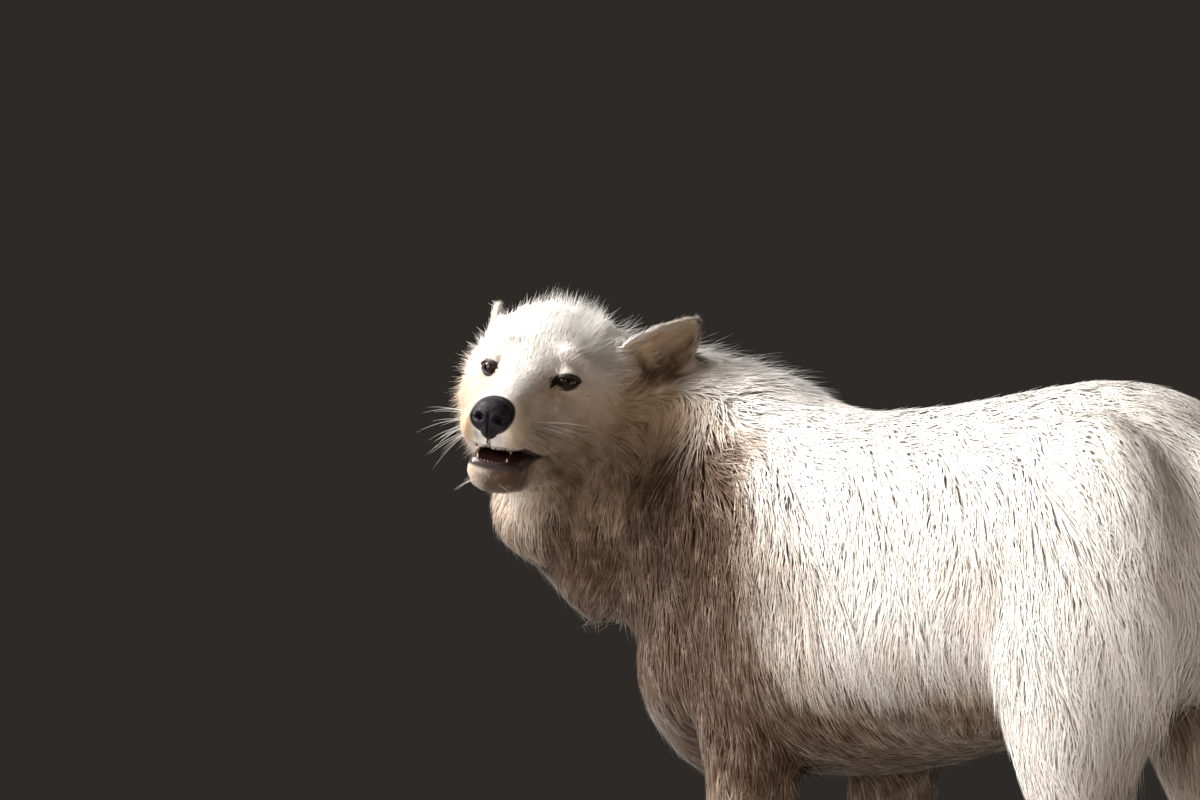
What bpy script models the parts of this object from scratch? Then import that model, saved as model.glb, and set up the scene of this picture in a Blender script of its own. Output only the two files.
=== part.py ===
"""An arctic wolf, life size, standing still and looking back over its left shoulder.

The wolf faces -Y, its left side is +X and it stands on z = 0. Metres throughout. Every form is sized to the
tips of the coat. The forms of the body are blended into one, which thin cuts then part into head, jaw, neck,
trunk, tail and legs. Ears, eyes, nose and claws are forms of their own, seated in it.
"""

import math

import bmesh
import bpy
from mathutils import Matrix, Vector

# Driving dimensions
GAP = 0.0005  # between two neighbouring pieces
CENTRE = (-0.1726, 0.088)  # fore and side of the middle of the wolf's box, from the withers
NECK_ROOT = 0.12  # how far ahead of the withers the neck starts to bend
NECK_LENGTH = 0.18  # along the neck's bent centre line, up to the back of the skull
NECK_BEND = math.radians(55)  # what the neck turns to the left over that length
HEAD_TURN = math.radians(125.0)  # from straight ahead, to the left
HEAD_DIP = math.radians(3)
HEAD_LEAN = math.radians(10.4)  # the left eye is the lower one
HEAD_REACH = (0.2025, 0.2086, 0.788)  # fore, side and height of the point between the eyes
EYE_SPREAD = 0.0400  # from the middle of the face to the middle of an eye
EYE_RADIUS = 0.0118
EYE_PROUD = 0.0036  # how far an eye stands out of the coat
EYE_TURN = math.radians(24)  # each eye looks this far outwards
JAW_OPENING = math.radians(7)
EAR_LENGTH = 0.088
EAR_HALF_WIDTH = 0.034
EAR_THICKNESS = 0.0075
EAR_SWEEP = 0.008  # how far its middle bows towards its outer, lower edge
CLAW_LENGTH = 0.022
CLAW_RADIUS = 0.0036
FINISHES = {  # colour and roughness
    "coat": ((0.80, 0.74, 0.65), 0.90),
    "ear": ((0.72, 0.58, 0.44), 0.85),
    "nose": ((0.02, 0.018, 0.022), 0.40),
    "eye": ((0.10, 0.045, 0.015), 0.08),
    "claw": ((0.10, 0.08, 0.07), 0.45),
}
VOXEL = 0.0035  # of the blending
SHARES = {"face": 0.2, "head and paws": 0.6, "rest": 1.0}  # how freely each place may be simplified
EAR_TRIANGLES = 400
NOSE_TRIANGLES = 320
SHARE_WEIGHT = 0.02  # how much those shares count
TRIANGLES = 4300  # of the body before it is parted

FORWARD, LEFT, UP = Vector((0, -1, 0)), Vector((1, 0, 0)), Vector((0, 0, 1))
SIDES = {"left": 1, "right": -1}
JOWL_SPREAD = {"left": 0.063, "right": 0.052}  # from the middle of the face

# Each ear: where its root is, which way it points and which way it opens, in the head's own frame. The wolf
# lays them back, the right one a little flatter.
EARS = {
    "left": {"root": (-0.058, 0.089, 0.019), "axis": (-0.61, 0.45, 0.65), "opens": (0.80, 0.58, 0.05)},
    "right": {"root": (-0.080, -0.080, 0.010), "axis": (-0.88, -0.18, 0.44), "opens": (0.45, -0.88, 0.05)},
}

# Each pair of paws: the middle of a paw, its length and its half width
PAWS = {
    "fore": {"fore": 0.062, "side": 0.083, "length": 0.122, "half_width": 0.044},
    "hind": {"fore": -0.520, "side": 0.085, "length": 0.112, "half_width": 0.040},
}
TOES = ((-1.5, 0.30), (-0.5, 0.43), (0.5, 0.43), (1.5, 0.30))  # each toe's place across and its reach


def at(fore, side, height):
    """A point `fore` ahead of the withers, `side` to the wolf's left and `height` above the floor."""
    return FORWARD * fore + LEFT * side + UP * height


# ---------------------------------------------------------------- shaping tools


def catmull_rom(rows, spans):
    """Rows of numbers, with `spans` steps between each two, on a smooth curve through them all."""
    rows = [Vector(row) for row in rows]
    ends = [rows[0] * 2 - rows[1], *rows, rows[-1] * 2 - rows[-2]]
    made = []
    for p0, p1, p2, p3 in zip(ends, ends[1:], ends[2:], ends[3:]):
        for step in range(spans):
            t = step / spans
            made.append(
                0.5 * (2 * p1 + (p2 - p0) * t + (2 * p0 - 5 * p1 + 4 * p2 - p3) * t**2
                       + (3 * p1 - p0 - 3 * p2 + p3) * t**3)
            )
    return [*made, rows[-1]]


def section(bm, centre, above, across, rise, drop, half_width, egg, square, count=32):
    """The edges of a closed ring round `centre`. It reaches `rise` along `above`, `drop` the other way and
    `half_width` to each side. `egg` widens its lower half, and `square` over 2 fills its corners."""
    ring = []
    for step in range(count):
        angle = math.tau * step / count
        c = math.copysign(abs(math.cos(angle)) ** (2 / square), math.cos(angle))
        s = math.copysign(abs(math.sin(angle)) ** (2 / square), math.sin(angle))
        side = across * (half_width * (1 - egg * s) * c)
        ring.append(bm.verts.new(centre + side + above * ((rise if s > 0 else drop) * s)))
    return [bm.edges.new((ring[i - 1], ring[i])) for i in range(count)]


def loft(name, rows, towards=UP, tilted=False, spans=5, place=None):
    """A closed skin over the sections that the rows give: x, y, z of the centre, then rise, drop,
    half width, egg and square. A section rises `towards` this way, or is square to the path if tilted."""
    rows = catmull_rom(rows, spans)
    bm = bmesh.new()
    loops = []
    for i, row in enumerate(rows):
        ahead = Vector(rows[min(i + 1, len(rows) - 1)][:3])
        behind = Vector(rows[max(i - 1, 0)][:3])
        along = (ahead - behind).normalized()
        above = (towards - along * towards.dot(along)).normalized() if tilted else towards
        loops.append(section(bm, Vector(row[:3]), above, above.cross(along).normalized(), *row[3:]))
    for edges, following in zip(loops, loops[1:]):
        bmesh.ops.bridge_loops(bm, edges=edges + following)
    bmesh.ops.holes_fill(bm, edges=loops[0] + loops[-1])
    bmesh.ops.recalc_face_normals(bm, faces=bm.faces)
    return guide(name, bm, place)


def ellipsoid(name, centre, radii, turn=(0, 0, 0), place=None, segments=28):
    """A ball of three radii along X, Y and Z, turned about them by degrees."""
    bm = bmesh.new()
    bmesh.ops.create_uvsphere(bm, u_segments=segments, v_segments=segments * 2 // 3, radius=1)
    turned = Matrix.Identity(4)
    for axis, degrees in zip("XYZ", turn):
        turned = Matrix.Rotation(math.radians(degrees), 4, axis) @ turned
    size = Matrix.Diagonal((*radii, 1))
    bmesh.ops.transform(bm, matrix=Matrix.Translation(centre) @ turned @ size, verts=bm.verts)
    return guide(name, bm, place)


def block(name, low, high, place=None, grow=0.0):
    """A box between two corners, made larger all round by `grow`."""
    bm = bmesh.new()
    bmesh.ops.create_cube(bm, size=1)
    margin = Vector((grow, grow, grow))
    low, high = Vector(low) - margin, Vector(high) + margin
    fit = Matrix.Translation((low + high) / 2) @ Matrix.Diagonal((*(high - low), 1))
    bmesh.ops.transform(bm, matrix=fit, verts=bm.verts)
    return guide(name, bm, place)


def guide(name, bm, place=None):
    """A form that is used up in making the pieces, or hidden as a cutter."""
    if place is not None:
        bmesh.ops.transform(bm, matrix=place, verts=bm.verts)
    mesh = bpy.data.meshes.new(name)
    bm.to_mesh(mesh)
    bm.free()
    return guide_of(name, mesh)


def guide_of(name, mesh):
    obj = bpy.data.objects.new(name, mesh)
    guides.objects.link(obj)
    obj.hide_render = True
    obj.display_type = "WIRE"
    return obj


def joined(name, pieces):
    """One object with the meshes of all the pieces, which are used up."""
    bm = bmesh.new()
    for piece in pieces:
        bm.from_mesh(piece.data)
        bpy.data.objects.remove(piece)
    return guide(name, bm)


def applied(obj):
    """The same form with its modifiers applied."""
    graph = bpy.context.evaluated_depsgraph_get()
    mesh = bpy.data.meshes.new_from_object(obj.evaluated_get(graph))
    name = obj.name
    bpy.data.objects.remove(obj)
    return guide_of(name, mesh)


def boolean(obj, other, operation):
    """`obj` united with, cut by or kept inside `other`, which stays as it is."""
    step = obj.modifiers.new(operation.lower(), "BOOLEAN")
    step.operation = operation
    step.object = other
    return applied(obj)


def copy_of(obj, name):
    return guide_of(name, obj.data.copy())


def used(obj):
    bpy.data.objects.remove(obj)


def blended(form, voxel, rounds):
    """Overlapping forms made one closed body, with their meeting lines softened."""
    blend = form.modifiers.new("blend", "REMESH")
    blend.mode = "VOXEL"
    blend.voxel_size = voxel
    soften = form.modifiers.new("soften", "SMOOTH")
    soften.factor = 0.5
    soften.iterations = rounds
    return applied(form)


def thinned(form, triangles, spare=None):
    """The form with about this many triangles. `spare` gives each point's share in the thinning, 0 to 1."""
    fewer = form.modifiers.new("fewer", "DECIMATE")
    now = sum(len(face.vertices) - 2 for face in form.data.polygons)
    fewer.ratio = min(1.0, triangles / now)
    if spare:
        group = form.vertex_groups.new(name="share")
        for share in SHARES.values():
            group.add([v.index for v in form.data.vertices if spare(v.co) == share], share, "REPLACE")
        fewer.vertex_group = group.name
        fewer.vertex_group_factor = SHARE_WEIGHT
    return applied(form)


def swollen(form, amount):
    """A copy whose surface lies `amount` further out."""
    other = copy_of(form, "swollen")
    push = other.modifiers.new("push", "DISPLACE")
    push.strength = amount
    push.mid_level = 0
    return applied(other)


def largest(form):
    """Only the biggest of the form's separate shells."""
    bm = bmesh.new()
    bm.from_mesh(form.data)
    left = set(bm.verts)
    shells = []
    while left:
        start = left.pop()
        shell, edge_of = {start}, [start]
        while edge_of:
            for edge in edge_of.pop().link_edges:
                for vert in edge.verts:
                    if vert in left:
                        left.remove(vert)
                        shell.add(vert)
                        edge_of.append(vert)
        shells.append(shell)
    keep = max(shells, key=len)
    bmesh.ops.delete(bm, geom=[v for v in bm.verts if v not in keep], context="VERTS")
    bm.to_mesh(form.data)
    bm.free()
    return form


# ---------------------------------------------------------------- trunk and neck


def torso_row(fore, top, bottom, half_width, egg=0.10, square=2.15):
    middle = (top + bottom) / 2
    return (*at(fore, 0, middle), top - middle, middle - bottom, half_width, egg, square)


def neck_row(travel, top, bottom, half_width, egg=0.16):
    """A section across the neck, `travel` along its bent centre line from its root."""
    radius = NECK_LENGTH / NECK_BEND
    heading = travel / radius
    middle = (top + bottom) / 2
    centre = at(NECK_ROOT + radius * math.sin(heading), radius * (1 - math.cos(heading)), middle)
    return (*centre, top - middle, middle - bottom, half_width, egg, 2.1)


def torso():
    """From the rump to the back of the skull."""
    rows = [
        torso_row(-0.606, 0.650, 0.570, 0.040),
        torso_row(-0.592, 0.694, 0.520, 0.074),
        torso_row(-0.556, 0.738, 0.490, 0.102),
        torso_row(-0.495, 0.771, 0.478, 0.118),
        torso_row(-0.420, 0.783, 0.470, 0.125),
        torso_row(-0.340, 0.777, 0.455, 0.129),
        torso_row(-0.240, 0.764, 0.428, 0.136),
        torso_row(-0.140, 0.755, 0.406, 0.143),
        torso_row(-0.050, 0.753, 0.396, 0.145, 0.12),
        torso_row(0.030, 0.766, 0.396, 0.142, 0.14),
        torso_row(0.085, 0.787, 0.408, 0.136, 0.18, 2.05),
        neck_row(0.000, 0.803, 0.420, 0.131, 0.20),
        neck_row(0.050, 0.816, 0.444, 0.127, 0.20),
        neck_row(0.090, 0.822, 0.474, 0.123),
        neck_row(0.130, 0.828, 0.512, 0.118),
        neck_row(0.180, 0.833, 0.556, 0.108),
        neck_row(0.220, 0.826, 0.600, 0.088),
    ]
    return loft("torso", rows)


def breast():
    return ellipsoid("breast", at(0.130, 0.005, 0.545), (0.115, 0.112, 0.162))


def mane():
    """The long hair of the throat, which hangs to the left below the turned head."""
    return ellipsoid("mane", at(0.235, 0.085, 0.615), (0.080, 0.080, 0.085))


def shoulder(name, sign):
    centre = at(0.078, sign * 0.088, 0.575)
    return ellipsoid(f"shoulder_{name}", centre, (0.054, 0.090, 0.150), turn=(-14, 0, 0))


def haunch(name, sign):
    centre = at(-0.478, sign * 0.074, 0.600)
    return ellipsoid(f"haunch_{name}", centre, (0.060, 0.122, 0.155), turn=(8, 0, 0))


# ---------------------------------------------------------------- legs


def leg_row(fore, side, height, front, back, half_width, square=2.1):
    """A level section of a leg, with its reach to the front, to the back and to each side."""
    return (*at(fore, side, height), front, back, half_width, 0.0, square)


def foreleg_form(name, sign):
    rows = [
        leg_row(0.082, sign * 0.084, 0.600, 0.062, 0.066, 0.046),
        leg_row(0.052, sign * 0.089, 0.520, 0.060, 0.070, 0.049),
        leg_row(0.018, sign * 0.090, 0.440, 0.052, 0.066, 0.046),
        leg_row(0.014, sign * 0.088, 0.380, 0.045, 0.056, 0.041),
        leg_row(0.020, sign * 0.085, 0.300, 0.037, 0.043, 0.036),
        leg_row(0.024, sign * 0.082, 0.220, 0.032, 0.034, 0.032),
        leg_row(0.026, sign * 0.081, 0.165, 0.032, 0.032, 0.032),
        leg_row(0.028, sign * 0.081, 0.110, 0.029, 0.031, 0.030),
        leg_row(0.036, sign * 0.082, 0.060, 0.031, 0.033, 0.034),
        leg_row(0.046, sign * 0.083, 0.022, 0.034, 0.034, 0.036),
    ]
    return loft(f"foreleg_form_{name}", rows, towards=FORWARD)


def hindleg_form(name, sign):
    rows = [
        leg_row(-0.478, sign * 0.070, 0.650, 0.095, 0.088, 0.052),
        leg_row(-0.468, sign * 0.078, 0.560, 0.103, 0.098, 0.058),
        leg_row(-0.458, sign * 0.084, 0.480, 0.088, 0.090, 0.056),
        leg_row(-0.463, sign * 0.087, 0.410, 0.062, 0.060, 0.046),
        leg_row(-0.497, sign * 0.086, 0.330, 0.047, 0.050, 0.038),
        leg_row(-0.541, sign * 0.084, 0.260, 0.037, 0.040, 0.031),
        leg_row(-0.565, sign * 0.083, 0.200, 0.034, 0.037, 0.029),
        leg_row(-0.563, sign * 0.083, 0.140, 0.029, 0.031, 0.028),
        leg_row(-0.552, sign * 0.084, 0.080, 0.029, 0.030, 0.029),
        leg_row(-0.540, sign * 0.085, 0.022, 0.032, 0.032, 0.034),
    ]
    return loft(f"hindleg_form_{name}", rows, towards=FORWARD)


def toe_centre(paw, sign, across, reach):
    fore = paw["fore"] + paw["length"] * (reach - 0.17)
    return at(fore, sign * paw["side"] + across * paw["half_width"] * 0.45, 0.017)


def paw_form(which, name, sign):
    """The pads and the four furred toes of one foot."""
    paw = PAWS[which]
    length, half_width = paw["length"], paw["half_width"]
    pad_centre = at(paw["fore"] - 0.010, sign * paw["side"], 0.024)
    pieces = [ellipsoid("pad", pad_centre, (half_width * 0.92, length * 0.40, 0.034))]
    for across, reach in TOES:
        centre = toe_centre(paw, sign, across, reach)
        pieces.append(ellipsoid("toe", centre, (half_width * 0.29, length * 0.19, 0.023)))
    return joined(f"{which}paw_form_{name}", pieces)


# ---------------------------------------------------------------- tail


def tail_form():
    rows = [
        (*at(-0.535, 0.000, 0.705), 0.030, 0.030, 0.034, 0.0, 2.0),
        (*at(-0.592, 0.006, 0.684), 0.040, 0.040, 0.043, 0.0, 2.0),
        (*at(-0.640, 0.014, 0.628), 0.044, 0.046, 0.053, 0.0, 2.0),
        (*at(-0.662, 0.020, 0.550), 0.046, 0.052, 0.060, 0.0, 2.0),
        (*at(-0.668, 0.022, 0.460), 0.048, 0.053, 0.060, 0.0, 2.0),
        (*at(-0.664, 0.022, 0.370), 0.045, 0.045, 0.051, 0.0, 2.0),
        (*at(-0.654, 0.020, 0.300), 0.029, 0.029, 0.032, 0.0, 2.0),
        (*at(-0.648, 0.018, 0.262), 0.006, 0.006, 0.007, 0.0, 2.0),
    ]
    return loft("tail_form", rows, towards=FORWARD, tilted=True)


# ---------------------------------------------------------------- head


def head_place():
    """The head is modelled facing -Y with the point between the eyes at its origin. This places it."""
    turn = (Matrix.Rotation(HEAD_TURN, 4, "Z") @ Matrix.Rotation(HEAD_DIP, 4, "X")
            @ Matrix.Rotation(HEAD_LEAN, 4, "Y"))
    return Matrix.Translation(at(*HEAD_REACH)) @ turn


def head_row(fore, top, bottom, half_width, egg=0.15, square=2.2):
    """A section of the head `fore` ahead of the eyes, with its top and bottom above the eyes' level."""
    middle = (top + bottom) / 2
    return (*at(fore, 0, middle), top - middle, middle - bottom, half_width, egg, square)


def skull_form():
    rows = [
        head_row(0.113, -0.028, -0.060, 0.016, 0.05, 2.3),
        head_row(0.110, -0.019, -0.066, 0.024, 0.12, 2.5),
        head_row(0.100, -0.013, -0.069, 0.030, 0.17, 2.6),
        head_row(0.086, -0.008, -0.071, 0.0335, 0.20, 2.6),
        head_row(0.067, -0.002, -0.073, 0.0345, 0.22, 2.6),
        head_row(0.047, 0.006, -0.077, 0.038, 0.22, 2.5),
        head_row(0.028, 0.015, -0.082, 0.045, 0.20, 2.4),
        head_row(0.010, 0.028, -0.087, 0.054, 0.16, 2.3),
        head_row(-0.010, 0.043, -0.092, 0.068, 0.14, 2.2),
        head_row(-0.035, 0.059, -0.099, 0.083, 0.14, 2.15),
        head_row(-0.065, 0.069, -0.108, 0.090, 0.16, 2.15),
        head_row(-0.095, 0.070, -0.118, 0.092, 0.16, 2.15),
        head_row(-0.125, 0.064, -0.124, 0.085, 0.16, 2.1),
        head_row(-0.155, 0.044, -0.118, 0.068, 0.12, 2.1),
        head_row(-0.172, 0.022, -0.100, 0.044, 0.08, 2.1),
    ]
    return loft("skull_form", rows, place=head)


def jaw_form():
    rows = [
        head_row(0.108, -0.068, -0.083, 0.012, 0.0),
        head_row(0.103, -0.065, -0.092, 0.0225, 0.0),
        head_row(0.088, -0.065, -0.099, 0.0275, -0.05),
        head_row(0.065, -0.066, -0.103, 0.0305, -0.05),
        head_row(0.040, -0.070, -0.107, 0.035, -0.05),
        head_row(0.015, -0.076, -0.111, 0.042, -0.05),
        head_row(-0.015, -0.078, -0.116, 0.050, 0.0),
        head_row(-0.050, -0.074, -0.122, 0.058, 0.0),
    ]
    joint = at(-0.030, 0, -0.040)
    opened = Matrix.Translation(joint) @ Matrix.Rotation(JAW_OPENING, 4, "X") @ Matrix.Translation(-joint)
    return loft("jaw_form", rows, place=head @ opened)


def mouth_hollow():
    size = (0.024, 0.046, 0.0145)
    return ellipsoid("mouth_hollow", at(0.064, 0, -0.076), size, turn=(4, 0, 0), place=head, segments=14)


def brow(name, sign):
    centre = at(-0.014, sign * 0.032, 0.022)
    return ellipsoid(f"brow_{name}", centre, (0.021, 0.024, 0.013), turn=(-24, sign * 14, sign * 14), place=head)


def lip(name, sign):
    """The full upper lip beside and behind the nose."""
    centre = at(0.088, sign * 0.0185, -0.045)
    return ellipsoid(f"lip_{name}", centre, (0.0175, 0.032, 0.024), turn=(-4, 0, sign * 8), place=head)


def jowl(name, sign):
    """The side whiskers that hang from below the ear. The turned neck draws the right ones in."""
    centre = at(-0.098, sign * JOWL_SPREAD[name], -0.050)
    return ellipsoid(f"jowl_{name}", centre, (0.036, 0.050, 0.066), turn=(0, 0, sign * 20), place=head)


def throat_ruff():
    return ellipsoid("throat_ruff", at(-0.078, 0.012, -0.138), (0.058, 0.064, 0.066), turn=(-12, 0, 0), place=head)


def nose_form():
    """The blunt pad at the muzzle's end, as wide above as below."""
    pieces = [
        ellipsoid("pad", at(0.110, 0, -0.033), (0.0190, 0.0150, 0.0160), turn=(12, 0, 0), place=head),
        ellipsoid("lower", at(0.109, 0, -0.047), (0.0105, 0.0115, 0.0110), place=head),
    ]
    for sign in SIDES.values():
        wing = ellipsoid("wing", at(0.108, sign * 0.0104, -0.037), (0.0102, 0.0135, 0.0128), place=head)
        pieces.append(wing)
    return thinned(blended(joined("nose", pieces), 0.0014, 6), NOSE_TRIANGLES)


def eye_seat(body, sign):
    """The middle of an eye: under the coat's surface, so far that the eye stands out a little."""
    inward = head.to_3x3() @ -FORWARD
    start = head @ at(0.2, sign * EYE_SPREAD, 0)
    surface = body.ray_cast(start, inward)[1]
    gaze = head.to_3x3() @ (Matrix.Rotation(sign * EYE_TURN, 3, "Z") @ FORWARD)
    return surface - gaze * (EYE_RADIUS - EYE_PROUD)


def eye(name, centre, radius):
    bm = bmesh.new()
    bmesh.ops.create_uvsphere(bm, u_segments=16, v_segments=10, radius=radius)
    upright = Matrix.Rotation(math.radians(90), 4, "X")  # the poles lie fore and aft
    bmesh.ops.transform(bm, matrix=Matrix.Translation(centre) @ upright, verts=bm.verts)
    return guide(name, bm)


def ear_form(name):
    """A cupped leaf with a round root."""
    way = {key: at(*value) for key, value in EARS[name].items()}
    axis = way["axis"].normalized()
    opens = (way["opens"] - axis * way["opens"].dot(axis)).normalized()
    bm = bmesh.new()
    bmesh.ops.create_grid(bm, x_segments=8, y_segments=14, size=1)
    for vert in bm.verts:
        across, along = vert.co.x, (vert.co.y + 1) / 2
        taper = max(0.02, 1 - along**1.7) * (0.86 + 0.6 * along)
        half_width = EAR_HALF_WIDTH * taper
        curl = math.radians(78 - 40 * along)
        bend = across * curl
        radius = half_width / math.sin(curl)
        depth = radius * (math.cos(curl) - math.cos(bend))
        sweep = SIDES[name] * EAR_SWEEP * math.sin(math.pi * along)
        vert.co = (radius * math.sin(bend) + sweep, EAR_LENGTH * along, depth)
    frame = Matrix((axis.cross(opens), axis, opens)).transposed().to_4x4()
    leaf = guide("ear_leaf", bm, head @ Matrix.Translation(way["root"]) @ frame)
    thick = leaf.modifiers.new("thickness", "SOLIDIFY")
    thick.thickness = EAR_THICKNESS
    thick.offset = 0
    root_centre = way["root"] - axis * 0.010 - opens * 0.026
    root = ellipsoid("ear_root", root_centre, (0.026, 0.026, 0.028), place=head)
    return thinned(blended(joined(f"ear_{name}", [applied(leaf), root]), 0.0022, 5), EAR_TRIANGLES)


# ---------------------------------------------------------------- teeth and claws


def tooth(centre, height, radius, tilt=0.0):
    """A blunt cone that stands `height` from its root, upwards in the head, or downwards if negative."""
    bm = bmesh.new()
    bmesh.ops.create_cone(
        bm, cap_ends=True, segments=8, radius1=radius, radius2=radius * 0.25, depth=abs(height)
    )
    if height < 0:
        bmesh.ops.rotate(bm, matrix=Matrix.Rotation(math.pi, 3, "X"), verts=bm.verts)
    bmesh.ops.rotate(bm, matrix=Matrix.Rotation(math.radians(tilt), 3, "X"), verts=bm.verts)
    bmesh.ops.translate(bm, vec=centre + UP * height / 2, verts=bm.verts)
    return guide("tooth", bm, head)


def upper_teeth():
    """The two eye teeth, as far as the lifted lip shows them."""
    return [tooth(at(0.091, sign * 0.0175, -0.062), -0.013, 0.0032) for sign in SIDES.values()]


def lower_teeth():
    """Two eye teeth with the six small front teeth between them."""
    teeth = [tooth(at(0.0945, sign * 0.0140, -0.092), 0.0125, 0.0032) for sign in SIDES.values()]
    for number in range(6):
        side = (number - 2.5) * 0.0036
        teeth.append(tooth(at(0.1010 - 30 * side**2, side, -0.094), 0.0120, 0.0020))
    return teeth


def claw(which, name, sign, number):
    """A short, dull, downward curved claw at the tip of a toe."""
    paw = PAWS[which]
    across, reach = TOES[number]
    root = toe_centre(paw, sign, across, reach) + FORWARD * paw["length"] * 0.18 + UP * 0.0005
    bm = bmesh.new()
    bmesh.ops.create_cone(
        bm, cap_ends=True, segments=6, radius1=CLAW_RADIUS, radius2=CLAW_RADIUS * 0.3, depth=CLAW_LENGTH
    )
    aim = Matrix.Rotation(math.radians(90 + 20), 3, "X")
    bmesh.ops.rotate(bm, matrix=aim, verts=bm.verts)
    bmesh.ops.translate(bm, vec=root, verts=bm.verts)
    return guide(f"claw_{which}_{name}_{number + 1}", bm)


# ---------------------------------------------------------------- the whole body, then its pieces


def body_share(point):
    """How freely a place on the body may be simplified."""
    local = head.inverted() @ Vector(point)
    if local.length < 0.135 and local.y < 0.02:
        return SHARES["face"]
    if local.length < 0.18 or point[2] < 0.06:
        return SHARES["head and paws"]
    return SHARES["rest"]


def whole_body():
    forms = [torso(), breast(), mane(), tail_form(), skull_form(), jaw_form(), throat_ruff()]
    for maker in (shoulder, haunch, foreleg_form, hindleg_form, brow, lip, jowl):
        forms += [maker(name, sign) for name, sign in SIDES.items()]
    for which in PAWS:
        forms += [paw_form(which, name, sign) for name, sign in SIDES.items()]
    body = thinned(blended(joined("whole_body", forms), VOXEL, 7), TRIANGLES, body_share)
    floor = block("floor", (-1, -1, -1), (1, 1, 0))
    return less(body, floor)


def region(name, planes, grow=0.0):
    """The space inside some planes, each a point and the way that leads out of the space."""
    bm = bmesh.new()
    bmesh.ops.create_cube(bm, size=4)
    for point, outward in planes:
        outward = outward.normalized()
        everything = [*bm.verts, *bm.edges, *bm.faces]
        cut = bmesh.ops.bisect_plane(
            bm, geom=everything, plane_co=point + outward * grow, plane_no=outward, clear_outer=True
        )
        bmesh.ops.holes_fill(bm, edges=[edge for edge in cut["geom_cut"] if isinstance(edge, bmesh.types.BMEdge)])
    bmesh.ops.recalc_face_normals(bm, faces=bm.faces)
    return guide(name, bm)


def less(form, other):
    """The form cut by another, which is used up."""
    form = boolean(form, other, "DIFFERENCE")
    used(other)
    return form


def split(form, name, planes):
    """The piece of the form inside the planes, and what is left of the form, with the gap between them."""
    inner = region("inner", planes)
    piece = boolean(copy_of(form, name), inner, "INTERSECT")
    used(inner)
    rest = less(form, region("outer", planes, grow=GAP))
    return largest(piece), largest(rest)


def tail_planes():
    return [(at(-0.611, 0, 0), FORWARD), (at(0, 0, 0.76), UP)]


def foreleg_planes(sign):
    """Below a slope that rises outwards from the breastbone to the outside of the elbow."""
    return [
        (at(0.030, sign * 0.010, 0.365), LEFT * -sign * 0.58 + FORWARD * -0.15 + UP * 0.80),
        (at(0, sign * 0.006, 0), LEFT * -sign),
        (at(-0.075, 0, 0), -FORWARD),
        (at(0.100, 0, 0.400), FORWARD + UP * 0.25),
    ]


def hindleg_planes(sign):
    """Below a slope that rises outwards from the groin to the hip."""
    return [
        (at(-0.480, sign * 0.010, 0.435), LEFT * -sign * 0.76 + FORWARD * 0.30 + UP * 0.58),
        (at(0, sign * 0.006, 0), LEFT * -sign),
        (at(-0.340, 0, 0.500), FORWARD + UP * 0.15),
    ]


def neck_planes():
    """Ahead of a slope from the withers down to the front of the breast."""
    return [(at(0.075, 0, 0.800), -FORWARD * 0.90 - UP * 0.40)]


def head_planes():
    """Ahead of the back of the skull, above the throat and to the right of the fold behind the cheek."""
    turned = head.to_3x3()
    return [
        (head @ at(-0.128, 0.030, 0), turned @ at(-0.92, 0.39, 0)),
        (head @ at(-0.040, 0, -0.178), turned @ at(-0.55, 0, -0.84)),
        (head @ at(0, 0.104, 0), turned @ LEFT),
    ]


def jaw_planes():
    """Below the line of the mouth and ahead of the throat."""
    turned = head.to_3x3()
    return [
        (head @ at(0.050, 0, -0.0795), turned @ at(0.05, 0, 1)),
        (head @ at(-0.004, 0, -0.090), turned @ at(-0.90, 0, -0.43)),
    ]


def material(name, colour, roughness):
    """A plain material of one colour."""
    made = bpy.data.materials.new(name)
    made.use_nodes = True
    shader = made.node_tree.nodes["Principled BSDF"]
    shader.inputs["Base Color"].default_value = (*colour, 1)
    shader.inputs["Roughness"].default_value = roughness
    shader.inputs["Metallic"].default_value = 0.0
    made.diffuse_color = (*colour, 1)
    return made


def finish(form, name, kind):
    """Makes a form one of the wolf's pieces, with the finish of its kind."""
    mesh = form.data
    used(form)
    mesh.name = name
    piece = bpy.data.objects.new(name, mesh)
    piece.data.materials.clear()
    piece.data.materials.append(material(name, *FINISHES[kind]))
    piece.data.shade_smooth()
    piece.location = -at(*CENTRE, 0)
    wolf.objects.link(piece)


def build():
    body = whole_body()
    skin = swollen(body, GAP)
    for name, sign in SIDES.items():
        ear = boolean(ear_form(name), skin, "DIFFERENCE")
        finish(largest(ear), f"ear_{name}", "ear")
        for which in PAWS:
            for number in range(len(TOES)):
                form = boolean(claw(which, name, sign, number), skin, "DIFFERENCE")
                finish(largest(form), f"claw_{which}_{name}_{number + 1}", "claw")
    used(skin)
    for name, sign in SIDES.items():
        centre = eye_seat(body, sign)
        finish(eye("eye", centre, EYE_RADIUS), f"eye_{name}", "eye")
        body = less(body, eye("socket", centre, EYE_RADIUS + GAP))
    nose = nose_form()
    body = less(body, swollen(nose, GAP))
    finish(nose, "nose", "nose")
    body = less(body, mouth_hollow())

    tail, body = split(body, "tail", tail_planes())
    finish(tail, "tail", "coat")
    for name, sign in SIDES.items():
        for which, planes in (("foreleg", foreleg_planes(sign)), ("hindleg", hindleg_planes(sign))):
            leg, body = split(body, which, planes)
            finish(leg, f"{which}_{name}", "coat")
    skull, body = split(body, "skull", head_planes())
    jaw, skull = split(skull, "jaw", jaw_planes())
    for form, name, teeth in ((skull, "head", upper_teeth()), (jaw, "jaw", lower_teeth())):
        for one in teeth:
            form = boolean(form, one, "UNION")
            used(one)
        finish(form, name, "coat")
    neck, trunk = split(body, "neck", neck_planes())
    finish(neck, "neck", "coat")
    finish(trunk, "trunk", "coat")


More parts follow.
